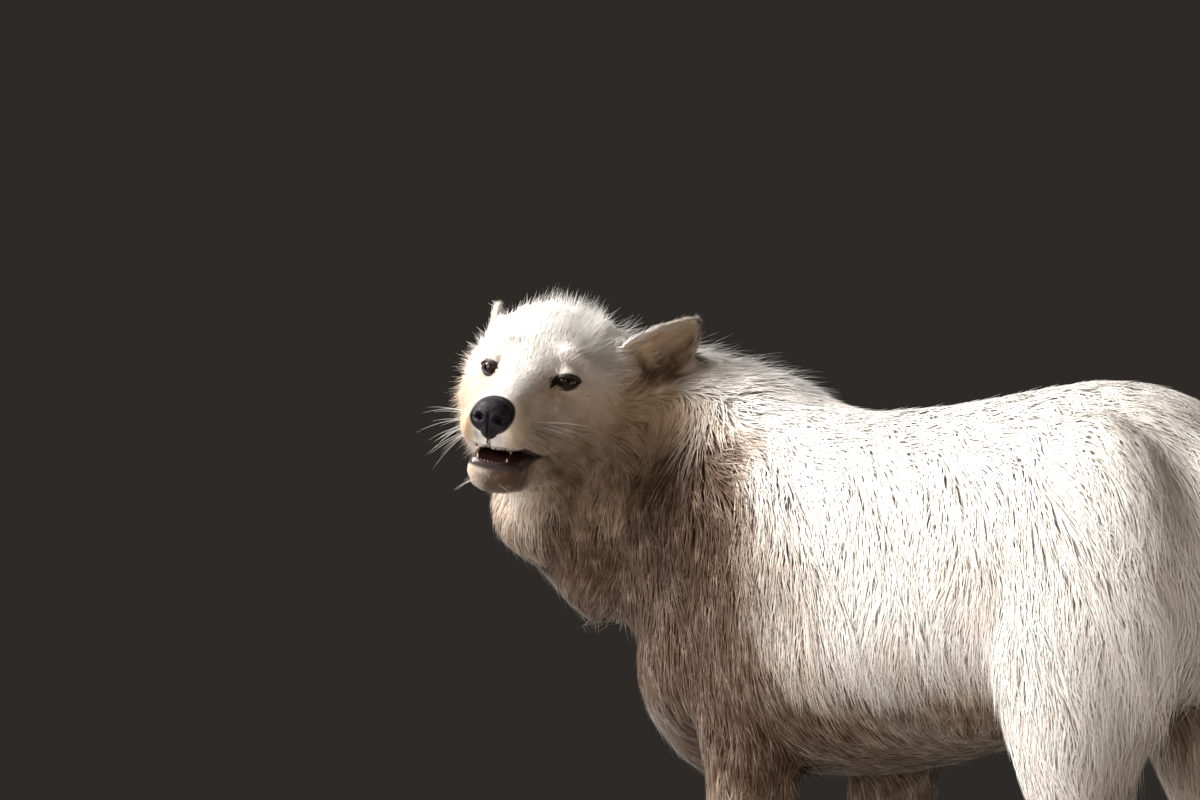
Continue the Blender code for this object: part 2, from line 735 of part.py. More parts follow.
for obj in list(bpy.data.objects):
    bpy.data.objects.remove(obj)
guides = bpy.data.collections.new("cutters_and_guides")
wolf = bpy.data.collections.new("arctic_wolf")
for group in (guides, wolf):
    bpy.context.scene.collection.children.link(group)
head = head_place()
build()
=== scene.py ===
"""The finish of a life-size arctic wolf that looks back over its left shoulder.

One skin stands for all the flesh. It lies inside the solids by the depth of the coat and carries eyelids, lips
and the lining of the mouth. The coat is mesh locks that follow its lie. Eyes, nose, teeth, claws and whiskers
are pieces of their own.
"""

import math

import bmesh
import bpy
import numpy as np
from mathutils import Matrix, Vector
from mathutils.kdtree import KDTree


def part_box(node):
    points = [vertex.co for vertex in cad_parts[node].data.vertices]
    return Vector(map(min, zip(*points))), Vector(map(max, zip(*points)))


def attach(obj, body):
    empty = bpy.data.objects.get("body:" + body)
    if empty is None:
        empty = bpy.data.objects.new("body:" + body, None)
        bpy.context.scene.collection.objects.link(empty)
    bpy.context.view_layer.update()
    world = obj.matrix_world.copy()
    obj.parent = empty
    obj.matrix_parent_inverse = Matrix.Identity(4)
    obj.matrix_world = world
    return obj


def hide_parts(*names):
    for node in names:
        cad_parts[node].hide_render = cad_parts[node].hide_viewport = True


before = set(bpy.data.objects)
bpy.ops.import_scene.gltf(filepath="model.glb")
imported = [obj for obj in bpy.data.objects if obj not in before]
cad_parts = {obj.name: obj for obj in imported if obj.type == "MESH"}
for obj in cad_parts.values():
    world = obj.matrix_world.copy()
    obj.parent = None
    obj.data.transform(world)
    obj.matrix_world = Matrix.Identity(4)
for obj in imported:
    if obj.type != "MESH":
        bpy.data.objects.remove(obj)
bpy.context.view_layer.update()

SEED = 7
FORWARD, LEFT, UP = Vector((0, -1, 0)), Vector((1, 0, 0)), Vector((0, 0, 1))
WITHERS = Vector((-0.088, -0.1726, 0))  # the origin that fore, side and height are counted from
SIDES = {"left": 1, "right": -1}
FLESH = (
    "head", "jaw", "ear_left", "ear_right", "neck", "trunk", "tail",
    "foreleg_left", "foreleg_right", "hindleg_left", "hindleg_right",
)
GROUPS = {
    "skull": ("head", "jaw"),
    "ears": ("ear_left", "ear_right"),
    "forelegs": ("foreleg_left", "foreleg_right"),
    "hindlegs": ("hindleg_left", "hindleg_right"),
    "legs": ("foreleg_left", "foreleg_right", "hindleg_left", "hindleg_right"),
}
CLAWS = [f"claw_{pair}_{side}_{toe}" for pair in ("fore", "hind") for side in SIDES for toe in range(1, 5)]


def at(fore, side, height):
    """A point `fore` ahead of the withers, `side` to the wolf's left and `height` up, or such a step."""
    return FORWARD * fore + LEFT * side + UP * height


HEAD = (
    Matrix.Translation(WITHERS + at(0.2025, 0.2086, 0.788))
    @ Matrix.Rotation(math.radians(125), 4, "Z")
    @ Matrix.Rotation(math.radians(3), 4, "X")
    @ Matrix.Rotation(math.radians(10.4), 4, "Y")
)
HEAD_TURN = HEAD.to_3x3()
# in the head's frame: the way each ear points, the way it opens and where it is rooted
EAR_AXES = {"left": at(-0.61, 0.45, 0.65), "right": at(-0.88, -0.18, 0.44)}
EAR_OPENINGS = {"left": at(0.80, 0.58, 0.05), "right": at(0.45, -0.88, 0.05)}
EAR_ROOTS = {"left": at(-0.058, 0.089, 0.019), "right": at(-0.080, -0.080, 0.010)}
EAR_LENGTH, EAR_HALF_WIDTH = 0.088, 0.034
EAR_SWEEP = 0.008  # how far the ear's middle line bows down

# ---------------------------------------------------------------- numbers over many points


def head_way(step):
    """A step in the head's frame as it is in the room."""
    return np.array(HEAD_TURN @ step)


def soft(value, low, high):
    """0 below `low`, 1 above `high` and smooth between. With low above high it falls instead."""
    t = np.clip((value - low) / (high - low), 0.0, 1.0)
    return t * t * (3 - 2 * t)


def unit(vectors):
    return vectors / np.maximum(np.linalg.norm(vectors, axis=-1, keepdims=True), 1e-9)


def dot(a, b):
    return (a * b).sum(axis=1)


def blend(old, new, share):
    return old + (new - old) * share


def body_measures(points):
    """How far each point is ahead of the withers, to the left of the middle and above the floor."""
    return -(points[:, 1] - WITHERS.y), points[:, 0] - WITHERS.x, points[:, 2]


def head_measures(points):
    """The same in the head's own frame, from the point between the eyes."""
    turned = np.array(HEAD.inverted())
    local = points @ turned[:3, :3].T + turned[:3, 3]
    return -local[:, 1], local[:, 0], local[:, 2]


def ear_measures(points, name):
    """How far along an ear each point is, 1 at the tip, and how far down it: -1 and 1 at its edges."""
    axis = EAR_AXES[name].normalized()
    opens = (EAR_OPENINGS[name] - axis * EAR_OPENINGS[name].dot(axis)).normalized()
    offset = points - np.array(HEAD @ EAR_ROOTS[name])
    along = offset @ head_way(axis) / EAR_LENGTH
    down = offset @ head_way(axis.cross(opens)) * SIDES[name]
    share = np.clip(along, 0.0, 1.0)
    half_width = EAR_HALF_WIDTH * np.maximum(0.02, 1 - share**1.7) * (0.86 + 0.6 * share)
    return along, (down - EAR_SWEEP * np.sin(math.pi * share)) / half_width


def distance(points, centre):
    return np.linalg.norm(points - np.array(centre), axis=1)


def reach_in(*parts):
    """0 in the middle and 1 on the edge of an ellipsoid. Each part is an offset and the half of its size."""
    return np.sqrt(sum((offset / half) ** 2 for offset, half in parts))


def ball(points, centre, radius):
    """1 at the centre, falling smoothly to 0 at the radius."""
    return soft(distance(points, centre), radius, 0.0)


def smoothed(values, edges, passes, hold=None):
    """Rows drawn to their neighbours' mean pass by pass. `hold` is the share that each keeps of itself."""
    count, columns = values.shape
    ends = np.concatenate([edges[:, 0], edges[:, 1]])
    others = np.concatenate([edges[:, 1], edges[:, 0]])
    degree = np.maximum(np.bincount(ends, minlength=count).astype(float), 1)[:, None]
    for _ in range(passes):
        total = np.stack([np.bincount(ends, values[others, k], count) for k in range(columns)], axis=1)
        mean = 0.5 * values + 0.5 * total / degree
        values = mean if hold is None else values * hold + mean * (1 - hold)
    return values


def tree_of(points):
    tree = KDTree(len(points))
    for index, point in enumerate(points.tolist()):
        tree.insert(point, index)
    tree.balance()
    return tree


def nearest(tree, points):
    return np.fromiter((tree.find(point)[1] for point in points.tolist()), np.int64, len(points))


def column(items, key, width, kind=np.float64):
    """One property of many items of a mesh, as a row of numbers for each."""
    flat = np.empty(len(items) * width, kind)
    items.foreach_get(key, flat)
    return flat.reshape(-1, width)


def points_of(mesh):
    return column(mesh.vertices, "co", 3)


def normals_of(mesh):
    return column(mesh.vertex_normals, "vector", 3, np.float32).astype(float)


def edges_of(mesh):
    return column(mesh.edges, "vertices", 2, np.int32)


def set_points(mesh, points):
    mesh.vertices.foreach_set("co", points.ravel())
    mesh.update()


def set_attribute(mesh, name, values):
    made = mesh.attributes.new(name, "FLOAT", "POINT")
    made.data.foreach_set("value", np.asarray(values, np.float32))


def placed(name, data):
    """A new object with that data in the scene."""
    obj = bpy.data.objects.new(name, data)
    bpy.context.scene.collection.objects.link(obj)
    return obj


def piece(name, mesh, finish):
    """A finished piece of the wolf, in one material."""
    mesh.name = name
    obj = placed(name, mesh)
    mesh.materials.clear()
    mesh.materials.append(finish)
    mesh.polygons.foreach_set("use_smooth", [True] * len(mesh.polygons))
    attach(obj, "root")
    return obj


def mesh_from(bm, name):
    mesh = bpy.data.meshes.new(name)
    bm.to_mesh(mesh)
    bm.free()
    return mesh


def applied(obj):
    """The mesh that a working object shows. The object itself goes."""
    made = bpy.data.meshes.new_from_object(obj.evaluated_get(bpy.context.evaluated_depsgraph_get()))
    bpy.data.objects.remove(obj)
    return made


def modified(mesh, *modifiers):
    """A copy of the mesh with modifiers applied, each given as its type and its settings."""
    obj = placed("working", mesh)
    for kind, settings in modifiers:
        modifier = obj.modifiers.new(kind.lower(), kind)
        for key, value in settings.items():
            setattr(modifier, key, value)
    return applied(obj)


# ---------------------------------------------------------------- the skin

OVERLAP = 0.0006  # closes the thin cuts between the solids
SKIN_VOXEL = 0.0026
MARK_SPACING = 0.010  # of the points that know their node
FREE_PASSES, HELD_PASSES = 2, 12  # of easing the facets: all over, then not at mouth and ears
FREEDOM = ((0.03, 0.66, 2), (0.3, 0.1, 0.66), (1.0, -1, 0.1))  # of triangles to go, by the limits of the face
KEPT_TRIANGLES, FREEDOM_WEIGHT = 0.185, 0.05
BORDER_PASSES, COAT_PASSES, LIE_PASSES, SKIN_PASSES, LID_PASSES = 14, 12, 8, 6, 16
EYE_REACH = 0.024  # how far round an eye the skin is modelled
EYE_RADIUS = 0.0118
EYE_TURN = math.radians(24)  # each eye looks this far outwards
EYE_SLANT = math.radians(9)  # its outer corner is the higher one
LID_THICKNESS = 0.0012
UNDER_EYE = 0.0030  # the skin passes this far behind the eyeball's front
OUTER_CORNER, INNER_CORNER, UPPER_LID, LOWER_LID = 0.0145, 0.0165, 0.0060, 0.0056
MUZZLE, MUZZLE_REACH = at(0.082, 0, -0.060), 0.054
# in the head's frame: the middle of the face, and half of its length, width and height
FACE_MIDDLE, FACE_SIZE = (-0.02, 0, -0.02), (0.16, 0.125, 0.115)
LIP_LIFT = 0.0070  # how far the lower lip is raised
LIP_SQUEEZE = 0.45  # how far the lips close at the corners of the mouth
NOSE_HEIGHT, NOSE_HALF_WIDTH, NOSE_HALF_HEIGHT = -0.034, 0.0212, 0.0178
NOSE_HOLLOW = 0.008  # how far the skin draws back behind the nose's pad
MOUTH_FORE, MOUTH_HEIGHT, MOUTH_TILT = 0.064, -0.076, math.radians(-4)
MOUTH_SIZE = (0.024, 0.046, 0.0145)  # half of the hollow's width, length and height
MOUTH_LINING = 1.08  # the lining against the hollow of the jaws
LIP_LINE = -0.0765
UV_MAP = "OFBake"
PATCH = 0.003  # of the map, for one lock
SOFTNESS = 0.84  # how far a lock is shaded like the coat as a whole
FLATNESS = 0.35  # a lock's thickness against its width


def merged_copy(name, grow):
    """A solid's mesh with its loose triangles joined up, grown outwards."""
    bm = bmesh.new()
    bm.from_mesh(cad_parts[name].data)
    bmesh.ops.remove_doubles(bm, verts=bm.verts, dist=1e-5)
    bm.normal_update()
    for vert in bm.verts:
        vert.co += vert.normal * grow
    return bm


def flesh():
    """One closed mesh round all the flesh, and points on it that know which node they are of."""
    whole = bmesh.new()
    marks, names = [], []
    for name in ("eye_left", "eye_right", "nose"):  # these fill their sockets
        whole.from_mesh(mesh_from(merged_copy(name, OVERLAP), name))
    for index, name in enumerate(FLESH):
        mesh = mesh_from(merged_copy(name, OVERLAP), name)
        whole.from_mesh(mesh)
        dense = bmesh.new()
        dense.from_mesh(mesh)
        for _ in range(2):
            long_edges = [edge for edge in dense.edges if edge.calc_length() > MARK_SPACING]
            bmesh.ops.subdivide_edges(dense, edges=long_edges, cuts=1)
        spots = [vert.co.copy() for vert in dense.verts]
        dense.free()
        marks += spots
        names += [index] * len(spots)
    remesh = ("REMESH", {"mode": "VOXEL", "voxel_size": SKIN_VOXEL})
    return modified(mesh_from(whole, "flesh"), remesh), np.array(marks), np.array(names)


def face_share(points):
    """1 over the face and 0 away from the head."""
    measures = head_measures(points)
    parts = [(measure - middle, half) for measure, middle, half in zip(measures, FACE_MIDDLE, FACE_SIZE)]
    return soft(reach_in(*parts), 1.15, 0.95)


def eased(mesh):
    """Softens the facets, less about the mouth and the ears."""
    points, edges = points_of(mesh), edges_of(mesh)
    fore, side, height = head_measures(points)
    mouth = soft(fore, -0.01, 0.01) * soft(height, -0.050, -0.058) * soft(height, -0.104, -0.098)
    ears = np.zeros(len(points))
    for name in SIDES:
        out = (points - np.array(HEAD @ EAR_ROOTS[name])) @ head_way(EAR_AXES[name].normalized())
        ears = np.maximum(ears, soft(out, 0.024, 0.040))
    hold = np.clip(mouth * (np.abs(side) < 0.05) + ears * (face_share(points) > 0), 0, 1)[:, None]
    points = smoothed(points, edges, FREE_PASSES)
    set_points(mesh, smoothed(points, edges, HELD_PASSES, hold))


def lighter(mesh):
    """Fewer triangles away from the face."""
    face = face_share(points_of(mesh))
    obj = placed("lighter", mesh)
    group = obj.vertex_groups.new(name="freedom")
    for share, low, high in FREEDOM:
        chosen = np.nonzero((face > low) & (face <= high))[0]
        group.add(chosen.tolist(), share, "REPLACE")
    fewer = obj.modifiers.new("fewer", "DECIMATE")
    fewer.ratio = KEPT_TRIANGLES
    fewer.vertex_group = group.name
    fewer.vertex_group_factor = FREEDOM_WEIGHT
    return applied(obj)


def eye_frame(name):
    """An eye's centre, its gaze, the way to its outer corner and its upward way."""
    low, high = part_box(f"eye_{name}")
    sign = SIDES[name]
    turn = HEAD_TURN @ Matrix.Rotation(sign * EYE_TURN, 3, "Z")
    slant = Matrix.Rotation(-sign * EYE_SLANT, 3, "Y")
    return (low + high) / 2, turn @ FORWARD, turn @ slant @ LEFT * sign, turn @ slant @ UP


def lid_measures(points, name):
    """How far each point is out along the gaze, and where it is in the almond of the lids: 1 on its edge."""
    centre, gaze, outer, above = (np.array(part) for part in eye_frame(name))
    offset = points - centre
    out, across, up = offset @ gaze, offset @ outer, offset @ above
    half_length = np.where(across > 0, OUTER_CORNER, INNER_CORNER)
    half_height = np.where(up > 0, UPPER_LID, LOWER_LID)
    almond = (across / half_length) ** 2 + np.abs(up) / half_height
    return out, np.hypot(across, up), almond, across


def refined(mesh):
    """More points about the eyes and the mouth, and triangles all over."""
    bm = bmesh.new()
    bm.from_mesh(mesh)
    eyes = [eye_frame(name)[0] for name in SIDES]
    for centres, reach, cuts in ((eyes, EYE_REACH, 3), ([HEAD @ MUZZLE], MUZZLE_REACH, 1)):
        near = {vert for vert in bm.verts if min((vert.co - centre).length for centre in centres) < reach}
        chosen = [edge for edge in bm.edges if edge.verts[0] in near and edge.verts[1] in near]
        bmesh.ops.subdivide_edges(bm, edges=chosen, cuts=cuts, use_grid_fill=True)
    bmesh.ops.triangulate(bm, faces=bm.faces)
    bm.to_mesh(mesh)
    bm.free()


def region_shares(mesh, marks, names):
    """How much each point of the skin belongs to each flesh node and group of nodes, with soft borders."""
    points = points_of(mesh)
    rows = np.zeros((len(points), len(FLESH)))
    rows[np.arange(len(points)), names[nearest(tree_of(marks), points)]] = 1
    rows = smoothed(rows, edges_of(mesh), BORDER_PASSES)
    shares = {name: rows[:, index] for index, name in enumerate(FLESH)}
    return {**shares, **{group: sum(shares[name] for name in members) for group, members in GROUPS.items()}}


# ---------------------------------------------------------------- the lie of the coat

# The coat on each part: its depth, the length and width of its locks in metres, how many grow on a square
# centimetre, how much they stand, how freely they hang and how much of the depth they fill
COAT = {
    "head": (0.0045, 0.016, 0.0012, 26, 0.06, 0.0, 1),
    "jaw": (0.0022, 0.011, 0.0010, 26, 0.05, 0.0, 1),
    "ear": (0.0012, 0.010, 0.0010, 22, 0.02, 0.0, 1),
    "neck": (0.0140, 0.060, 0.0017, 7.4, 0.04, 0.22, 1),
    "trunk": (0.0045, 0.056, 0.0020, 6.6, 0.03, 0.08, 1),
    "tail": (0.0200, 0.070, 0.0015, 7.5, 0.05, 0.45, 1),
    "foreleg": (0.0055, 0.024, 0.0013, 9.0, 0.02, 0.05, 1),
    "hindleg": (0.0060, 0.034, 0.0014, 8.0, 0.03, 0.08, 1),
}
COAT_KEYS = ("depth", "length", "width", "density", "stand", "free", "loft")
# what the zones of the coat change, in the same columns. Later zones cover earlier ones
KEEP = None
ZONES = {
    "muzzle": (0.0018, 0.0085, 0.0008, 85, 0.06, KEEP, KEEP),
    "front": (0.0030, 0.0135, 0.0010, 52, 0.08, KEEP, KEEP),
    "jowl": (0.0050, 0.0235, 0.0012, 27, 0.09, KEEP, KEEP),
    "cheek": (0.0085, 0.034, 0.0013, 18, 0.08, 0.08, KEEP),
    "throat": (0.0130, 0.044, 0.0011, 16, 0.05, 0.35, 0.8),
    "crown": (0.0170, 0.025, 0.0007, 52, 0.60, KEEP, 0.35),
    "far_cheek": (0.0060, 0.020, 0.0007, 34, 0.48, KEEP, 0.5),
    "nape": (0.0200, 0.044, 0.0011, 14, 0.34, KEEP, 0.7),
    "breast": (KEEP, 0.060, KEEP, KEEP, 0.04, 0.4, 0.85),
    "fold": (0.0230, KEEP, KEEP, KEEP, KEEP, KEEP, 0.45),
    "fringe": (0.0110, 0.072, 0.0016, 9, 0.12, 0.36, KEEP),
    "saddle": (0.0045, 0.052, KEEP, KEEP, 0.04, KEEP, KEEP),
    "belly": (0.0110, 0.050, 0.0016, 7, KEEP, 0.35, 0.7),
    "skirt": (0.0110, 0.092, 0.0015, 8.5, 0.10, 0.55, KEEP),
    "thigh": (0.0045, 0.054, 0.0019, 6.6, KEEP, KEEP, KEEP),
    "breech": (KEEP, 0.084, KEEP, 8, 0.12, 0.70, KEEP),
    "elbow": (0.0100, 0.044, 0.0014, 8, KEEP, 0.2, KEEP),
    "shank": (0.0045, 0.020, 0.0014, 9, 0.02, KEEP, KEEP),
    "paw": (0.0026, 0.011, 0.0010, 30, 0.02, 0, KEEP),
    "sole": (0, KEEP, KEEP, 0, KEEP, KEEP, KEEP),
    "ground": (0, KEEP, KEEP, KEEP, KEEP, KEEP, KEEP),
    "by_ears": (0.0065, 0.030, 0.0011, 30, 0.07, 0, 1),
    "ears": (0.0018, 0.019, 0.0011, 38, 0.16, 0, 1),
    "lids": (KEEP, 0.0055, 0.0006, 150, 0, 0, KEEP),
}

SHOULDER_HEIGHT, SHOULDER_SLOPE = 0.667, 0.57  # the sloping line of the shoulder: its height under the withers


def past_shoulder(fore, height):
    """How far a point is ahead of the sloping line of the shoulder."""
    return fore - (height - SHOULDER_HEIGHT) * SHOULDER_SLOPE


def cape_edge(fore, height):
    """How far a point is ahead of the shoulder cape's ragged front edge."""
    ragged = 0.007 * np.sin(height * 95) + 0.005 * np.sin(height * 230 + 1)
    return past_shoulder(fore, height) - 2.1 * np.maximum(height - 0.735, 0) + ragged


def zone_shares(points, normals, shares):
    """How much each point belongs to each of the ZONES."""
    fore, _, height = body_measures(points)
    head_fore, head_side, head_height = head_measures(points)
    head, ears, legs, neck, trunk = (shares[name] for name in ("skull", "ears", "legs", "neck", "trunk"))
    muzzle = head * soft(head_fore, 0.000, 0.045)
    nape = (neck + 0.6 * trunk * soft(fore, -0.05, 0.05)) * soft(height, 0.74, 0.80)
    breast = np.clip(neck + trunk * soft(fore, 0.02, 0.09), 0, 1)
    fold = (1 - head) * (1 - ears) * soft(past_shoulder(fore, height), 0.000, 0.022)
    cape = cape_edge(fore, height)
    fringe = (trunk + neck) * soft(cape, -0.070, -0.020) * soft(cape, 0.012, 0.0)
    skirt = trunk * soft(height, 0.630, 0.590) * soft(height, 0.520, 0.545)
    thigh = shares["hindlegs"] * soft(height, 0.36, 0.44)
    by_ears, lids = 0, 0
    for name in SIDES:
        root = HEAD @ (EAR_ROOTS[name] + EAR_AXES[name].normalized() * 0.035)
        by_ears += soft(distance(points, root), 0.080, 0.050) * (1 - ears)
        lids += soft(ball(points, eye_frame(name)[0], 0.026), 0.0, 0.6)
    return {
        "muzzle": muzzle,
        "front": head * soft(head_fore, -0.055, 0.000) * soft(head_height, -0.085, -0.06) * (1 - muzzle),
        "jowl": head * soft(head_fore, 0.030, -0.015) * soft(head_height, -0.010, -0.045) * (1 - muzzle),
        "cheek": head * soft(head_fore, -0.030, -0.070) * soft(head_height, 0.03, -0.02),
        "throat": head * soft(head_height, -0.098, -0.130) * soft(head_fore, 0.05, 0.01),
        "crown": head * soft(head_height, 0.012, 0.052) * soft(head_fore, 0.000, -0.055),
        "far_cheek": head * soft(head_side, -0.030, -0.065) * soft(head_fore, 0.050, 0.015),
        "nape": nape * soft(normals[:, 2], 0.2, 0.8),
        "breast": breast * soft(height, 0.62, 0.52),
        "fold": fold * soft(height, 0.79, 0.74) * soft(height, 0.42, 0.50),
        "fringe": fringe * soft(height, 0.77, 0.72) * soft(height, 0.40, 0.48),
        "saddle": trunk * soft(height, 0.70, 0.75),
        "belly": trunk * soft(height, 0.535, 0.50),
        "skirt": skirt * soft(fore, 0.04, 0.0),
        "thigh": thigh,
        "breech": thigh * soft(fore, -0.50, -0.56),
        "elbow": shares["forelegs"] * soft(height, 0.30, 0.40),
        "shank": legs * soft(height, 0.34, 0.24),
        "paw": legs * soft(height, 0.085, 0.045),
        "sole": legs * soft(height, 0.014, 0.004) * soft(-normals[:, 2], 0.1, 0.7),
        "ground": legs * soft(height, 0.010, 0.0),
        "by_ears": by_ears,
        "ears": ears,
        "lids": lids,
    }


def coat_measures(points, normals, shares):
    """What COAT_KEYS names, at each point of the flesh."""
    zones = zone_shares(points, normals, shares)
    coat = {}
    for k, key in enumerate(COAT_KEYS):
        coat[key] = sum(shares[name] * COAT[name.split("_")[0]][k] for name in FLESH)
        for zone, targets in ZONES.items():
            if targets[k] is not KEEP:
                coat[key] = blend(coat[key], targets[k], zones[zone])
    return coat


def lie_of_coat(points, normals, shares):
    """The way the locks lie at each point."""
    fore, side, height = body_measures(points)
    _, head_side, head_height = head_measures(points)
    count = len(points)

    def way(f, s, h):
        return np.stack(np.broadcast_arrays(s, -f, h, np.zeros(count))[:3], axis=1)

    def turned(old, new, share):
        return blend(old, new, share[:, None])

    behind = soft(fore, -0.14, -0.28) * soft(fore, -0.44, -0.36)
    trunk = turned(way(-0.32, 0, -0.95), way(0.22, 0, -0.97), behind)
    trunk = turned(trunk, way(-1.0, 0, -0.25), soft(height, 0.60, 0.77))
    trunk = turned(trunk, way(-0.75, np.sign(side) * 0.2, -0.7), soft(height, 0.47, 0.41))
    neck = turned(way(-0.15, -0.30, -0.95), way(0.30, 0.22, -0.93), soft(side, -0.02, 0.05))
    ridge = soft(height, 0.72, 0.80) * soft(normals[:, 2], 0.3, 0.8)
    neck = turned(neck, way(-0.70, -0.72, -0.10), ridge)
    # the head, in its own frame: back from the nose, and down the cheeks
    cheek = soft(np.abs(head_side), 0.040, 0.080) * soft(head_height, 0.045, -0.01)
    head = turned(way(-1.0, 0, 0.12), way(-0.75, np.sign(head_side) * 0.20, -0.62), cheek)
    head = turned(head, way(-0.40, 0, -0.92), soft(head_height, -0.085, -0.115)) @ np.array(HEAD_TURN).T
    toes, toes_way = soft(height, 0.060, 0.030), way(0.9, 0, -0.45)
    foreleg = turned(way(-0.12, 0, -1.0), toes_way, toes)
    hindleg = turned(way(-0.22, 0, -1.0), toes_way, toes)
    tail = turned(way(-0.05, 0, -1.0), way(-0.9, 0.05, -0.55), soft(height, 0.60, 0.68))
    ways = {"head": head, "jaw": head, "neck": neck, "trunk": trunk, "tail": tail}
    ways |= {"foreleg": foreleg, "hindleg": hindleg}
    total = np.zeros((count, 3))
    for name in FLESH:
        part, _, of_side = name.partition("_")
        lie = np.tile(head_way(EAR_AXES[of_side]), (count, 1)) if part == "ear" else ways[part]
        total += shares[name][:, None] * unit(lie)
    # up beside the ears, and away from the eyes
    for name in SIDES:
        beside = ball(points, HEAD @ EAR_ROOTS[name], 0.055) * (1 - shares[f"ear_{name}"])
        climb = head_way(EAR_AXES[name].normalized() - FORWARD * 0.2)
        total = turned(total, climb, 0.7 * soft(beside, 0.0, 0.5))
        centre = np.array(eye_frame(name)[0])
        total = turned(total, unit(points - centre), 0.85 * soft(ball(points, centre, 0.030), 0.0, 0.55))
    return total


def markings(points, normals, shares):
    """Where the white coat is buff, and where it is brown, from 0 to 1. A little is the coat's own tint and
    stains; most is painted shade on throat, face, neck, belly, forelegs and ears.
    """
    fore, _, height = body_measures(points)
    _, head_side, head_height = head_measures(points)
    head, ears, legs = (shares[name] for name in ("skull", "ears", "legs"))
    head_side = np.abs(head_side)
    buff = np.full(len(points), 0.10)
    # under the head: partly the ruff's own buff tint, partly painted shade
    buff += 0.75 * soft(head_height, -0.060, -0.125) * head
    # painted shade on the lower cheeks and the sides of the muzzle
    buff += 1.10 * head * soft(head_height, 0.026, -0.024) * soft(head_side, 0.011, 0.024)
    # the lower neck: partly its own buff tint, partly painted shade
    buff += 0.30 * shares["neck"] * soft(height, 0.79, 0.68)
    # buff lower legs, and painted shade on the legs' downward faces
    buff += 0.30 * legs * soft(height, 0.50, 0.35) + 0.25 * legs * soft(normals[:, 2], -0.1, -0.6)
    # painted shade in a fold of the left flank
    buff += 0.35 * ball(points, WITHERS + at(-0.33, 0.135, 0.60), 0.07)
    buff += 0.40 * shares["tail"] * soft(height, 0.50, 0.35) + 0.10 * ears
    # painted shade under the jaw
    brown = 0.55 * head * soft(head_height, -0.110, -0.150)
    # painted shade, browner low on the cheeks
    brown += 0.62 * head * soft(head_height, 0.000, -0.075) * soft(head_side, 0.014, 0.040)
    # painted shade on the upper forelegs
    brown += 0.55 * shares["forelegs"] * soft(height, 0.30, 0.42)
    # painted shade ahead of the cape, where the head's shadow falls on the neck, and on the belly below its
    # ragged edge
    cape = cape_edge(fore, height)
    front = soft(cape, -0.002, 0.012) * (1 - head) * (1 - ears)
    band = soft(height, 0.775, 0.70) * soft(height, 0.38, 0.50)
    buff += 0.90 * front * soft(height, 0.83, 0.78)
    brown += front * (1.05 + 0.75 * soft(cape, 0.14, 0.05)) * band
    ragged = 0.012 * np.sin(fore * 60) + 0.006 * np.sin(fore * 170)
    belly_shade = shares["trunk"] * soft(height + ragged, 0.552, 0.532)
    buff += 0.90 * belly_shade
    brown += 0.75 * belly_shade
    # the ears' insides: buff that is partly their own tint and partly painted shade, and painted shade browner
    # low down
    for name in SIDES:
        along, down = ear_measures(points, name)
        open_to = normals @ head_way(EAR_OPENINGS[name].normalized())
        inside = shares[f"ear_{name}"] * soft(open_to, 0.0, 0.5) * soft(np.abs(down), 0.95, 0.65)
        openness = inside * soft(along, 1.0, 0.85)
        buff += 0.95 * openness
        brown += 0.15 * openness + 0.80 * inside * soft(down, -0.3, 0.5) * soft(along, 0.95, 0.55)
    # painted shade on the chin and in a spot under the left eye, stains on the elbows, and brown at the backs
    # of the thighs
    spots = [(2.2, HEAD @ at(0.084, 0.020, -0.108), 0.046), (1.3, HEAD @ at(-0.005, 0.047, -0.034), 0.010)]
    for sign in SIDES.values():
        spots.append((0.9, WITHERS + at(-0.028, sign * 0.118, 0.392), 0.034))
        spots.append((1.1, WITHERS + at(-0.555, sign * 0.105, 0.410), 0.075))
    brown += sum(strength * ball(points, centre, radius) for strength, centre, radius in spots)
    return np.clip(buff, 0, 1), np.clip(brown, 0, 1)


def modelled_face(points):
    """Lids round the eyes and bare skin about eyes, nose and mouth: the moved points, and how bare each is."""
    bare = np.zeros(len(points))
    for name in SIDES:
        gaze = np.array(eye_frame(name)[1])
        out, reach, almond, across = lid_measures(points, name)
        facing = (reach < EYE_REACH) & (out > -0.004)
        ball_out = np.sqrt(np.maximum(EYE_RADIUS**2 - reach**2, 0))
        lid_out = np.sqrt(np.maximum((EYE_RADIUS + LID_THICKNESS) ** 2 - reach**2, 0))
        hidden = np.where(reach < EYE_RADIUS * 0.93, ball_out, out) - UNDER_EYE
        lid = out + np.maximum(lid_out - out, 0) * soft(almond, 8.0, 4.0) * soft(reach, 0.0190, 0.0135)
        target = np.where(almond < 1, np.minimum(hidden, out), lid)
        points = points + gaze * np.where(facing, target - out, 0)[:, None]
        rim = soft(almond, 1.75, 1.25) * facing
        tear = soft(np.abs(almond - 1.4), 1.0, 0.3) * soft(across, -0.012, -0.016) * facing
        bare = np.maximum(bare, np.maximum(rim, 0.9 * tear))
    fore, side, height = head_measures(points)
    nose = reach_in((side, NOSE_HALF_WIDTH), (height - NOSE_HEIGHT, NOSE_HALF_HEIGHT))
    bare = np.maximum(bare, soft(nose, 1.10, 1.00) * soft(fore, 0.098, 0.103))
    groove = soft(np.abs(side), 0.0030, 0.0014) * soft(fore, 0.092, 0.100)
    groove *= soft(height, -0.070, -0.066) * soft(height, -0.030, -0.045)
    behind_pad = NOSE_HOLLOW * soft(nose, 0.96, 0.78) * soft(fore, 0.094, 0.100)
    return points - head_way(FORWARD) * behind_pad[:, None], np.maximum(bare, groove)


def calmed(points, edges):
    """Smooths the ring of skin that the lids are modelled from."""
    share = np.zeros(len(points))
    for name in SIDES:
        share = np.maximum(share, soft(distance(points, eye_frame(name)[0]), EYE_REACH, 0.018))
    return smoothed(points, edges, LID_PASSES, 1 - share[:, None])


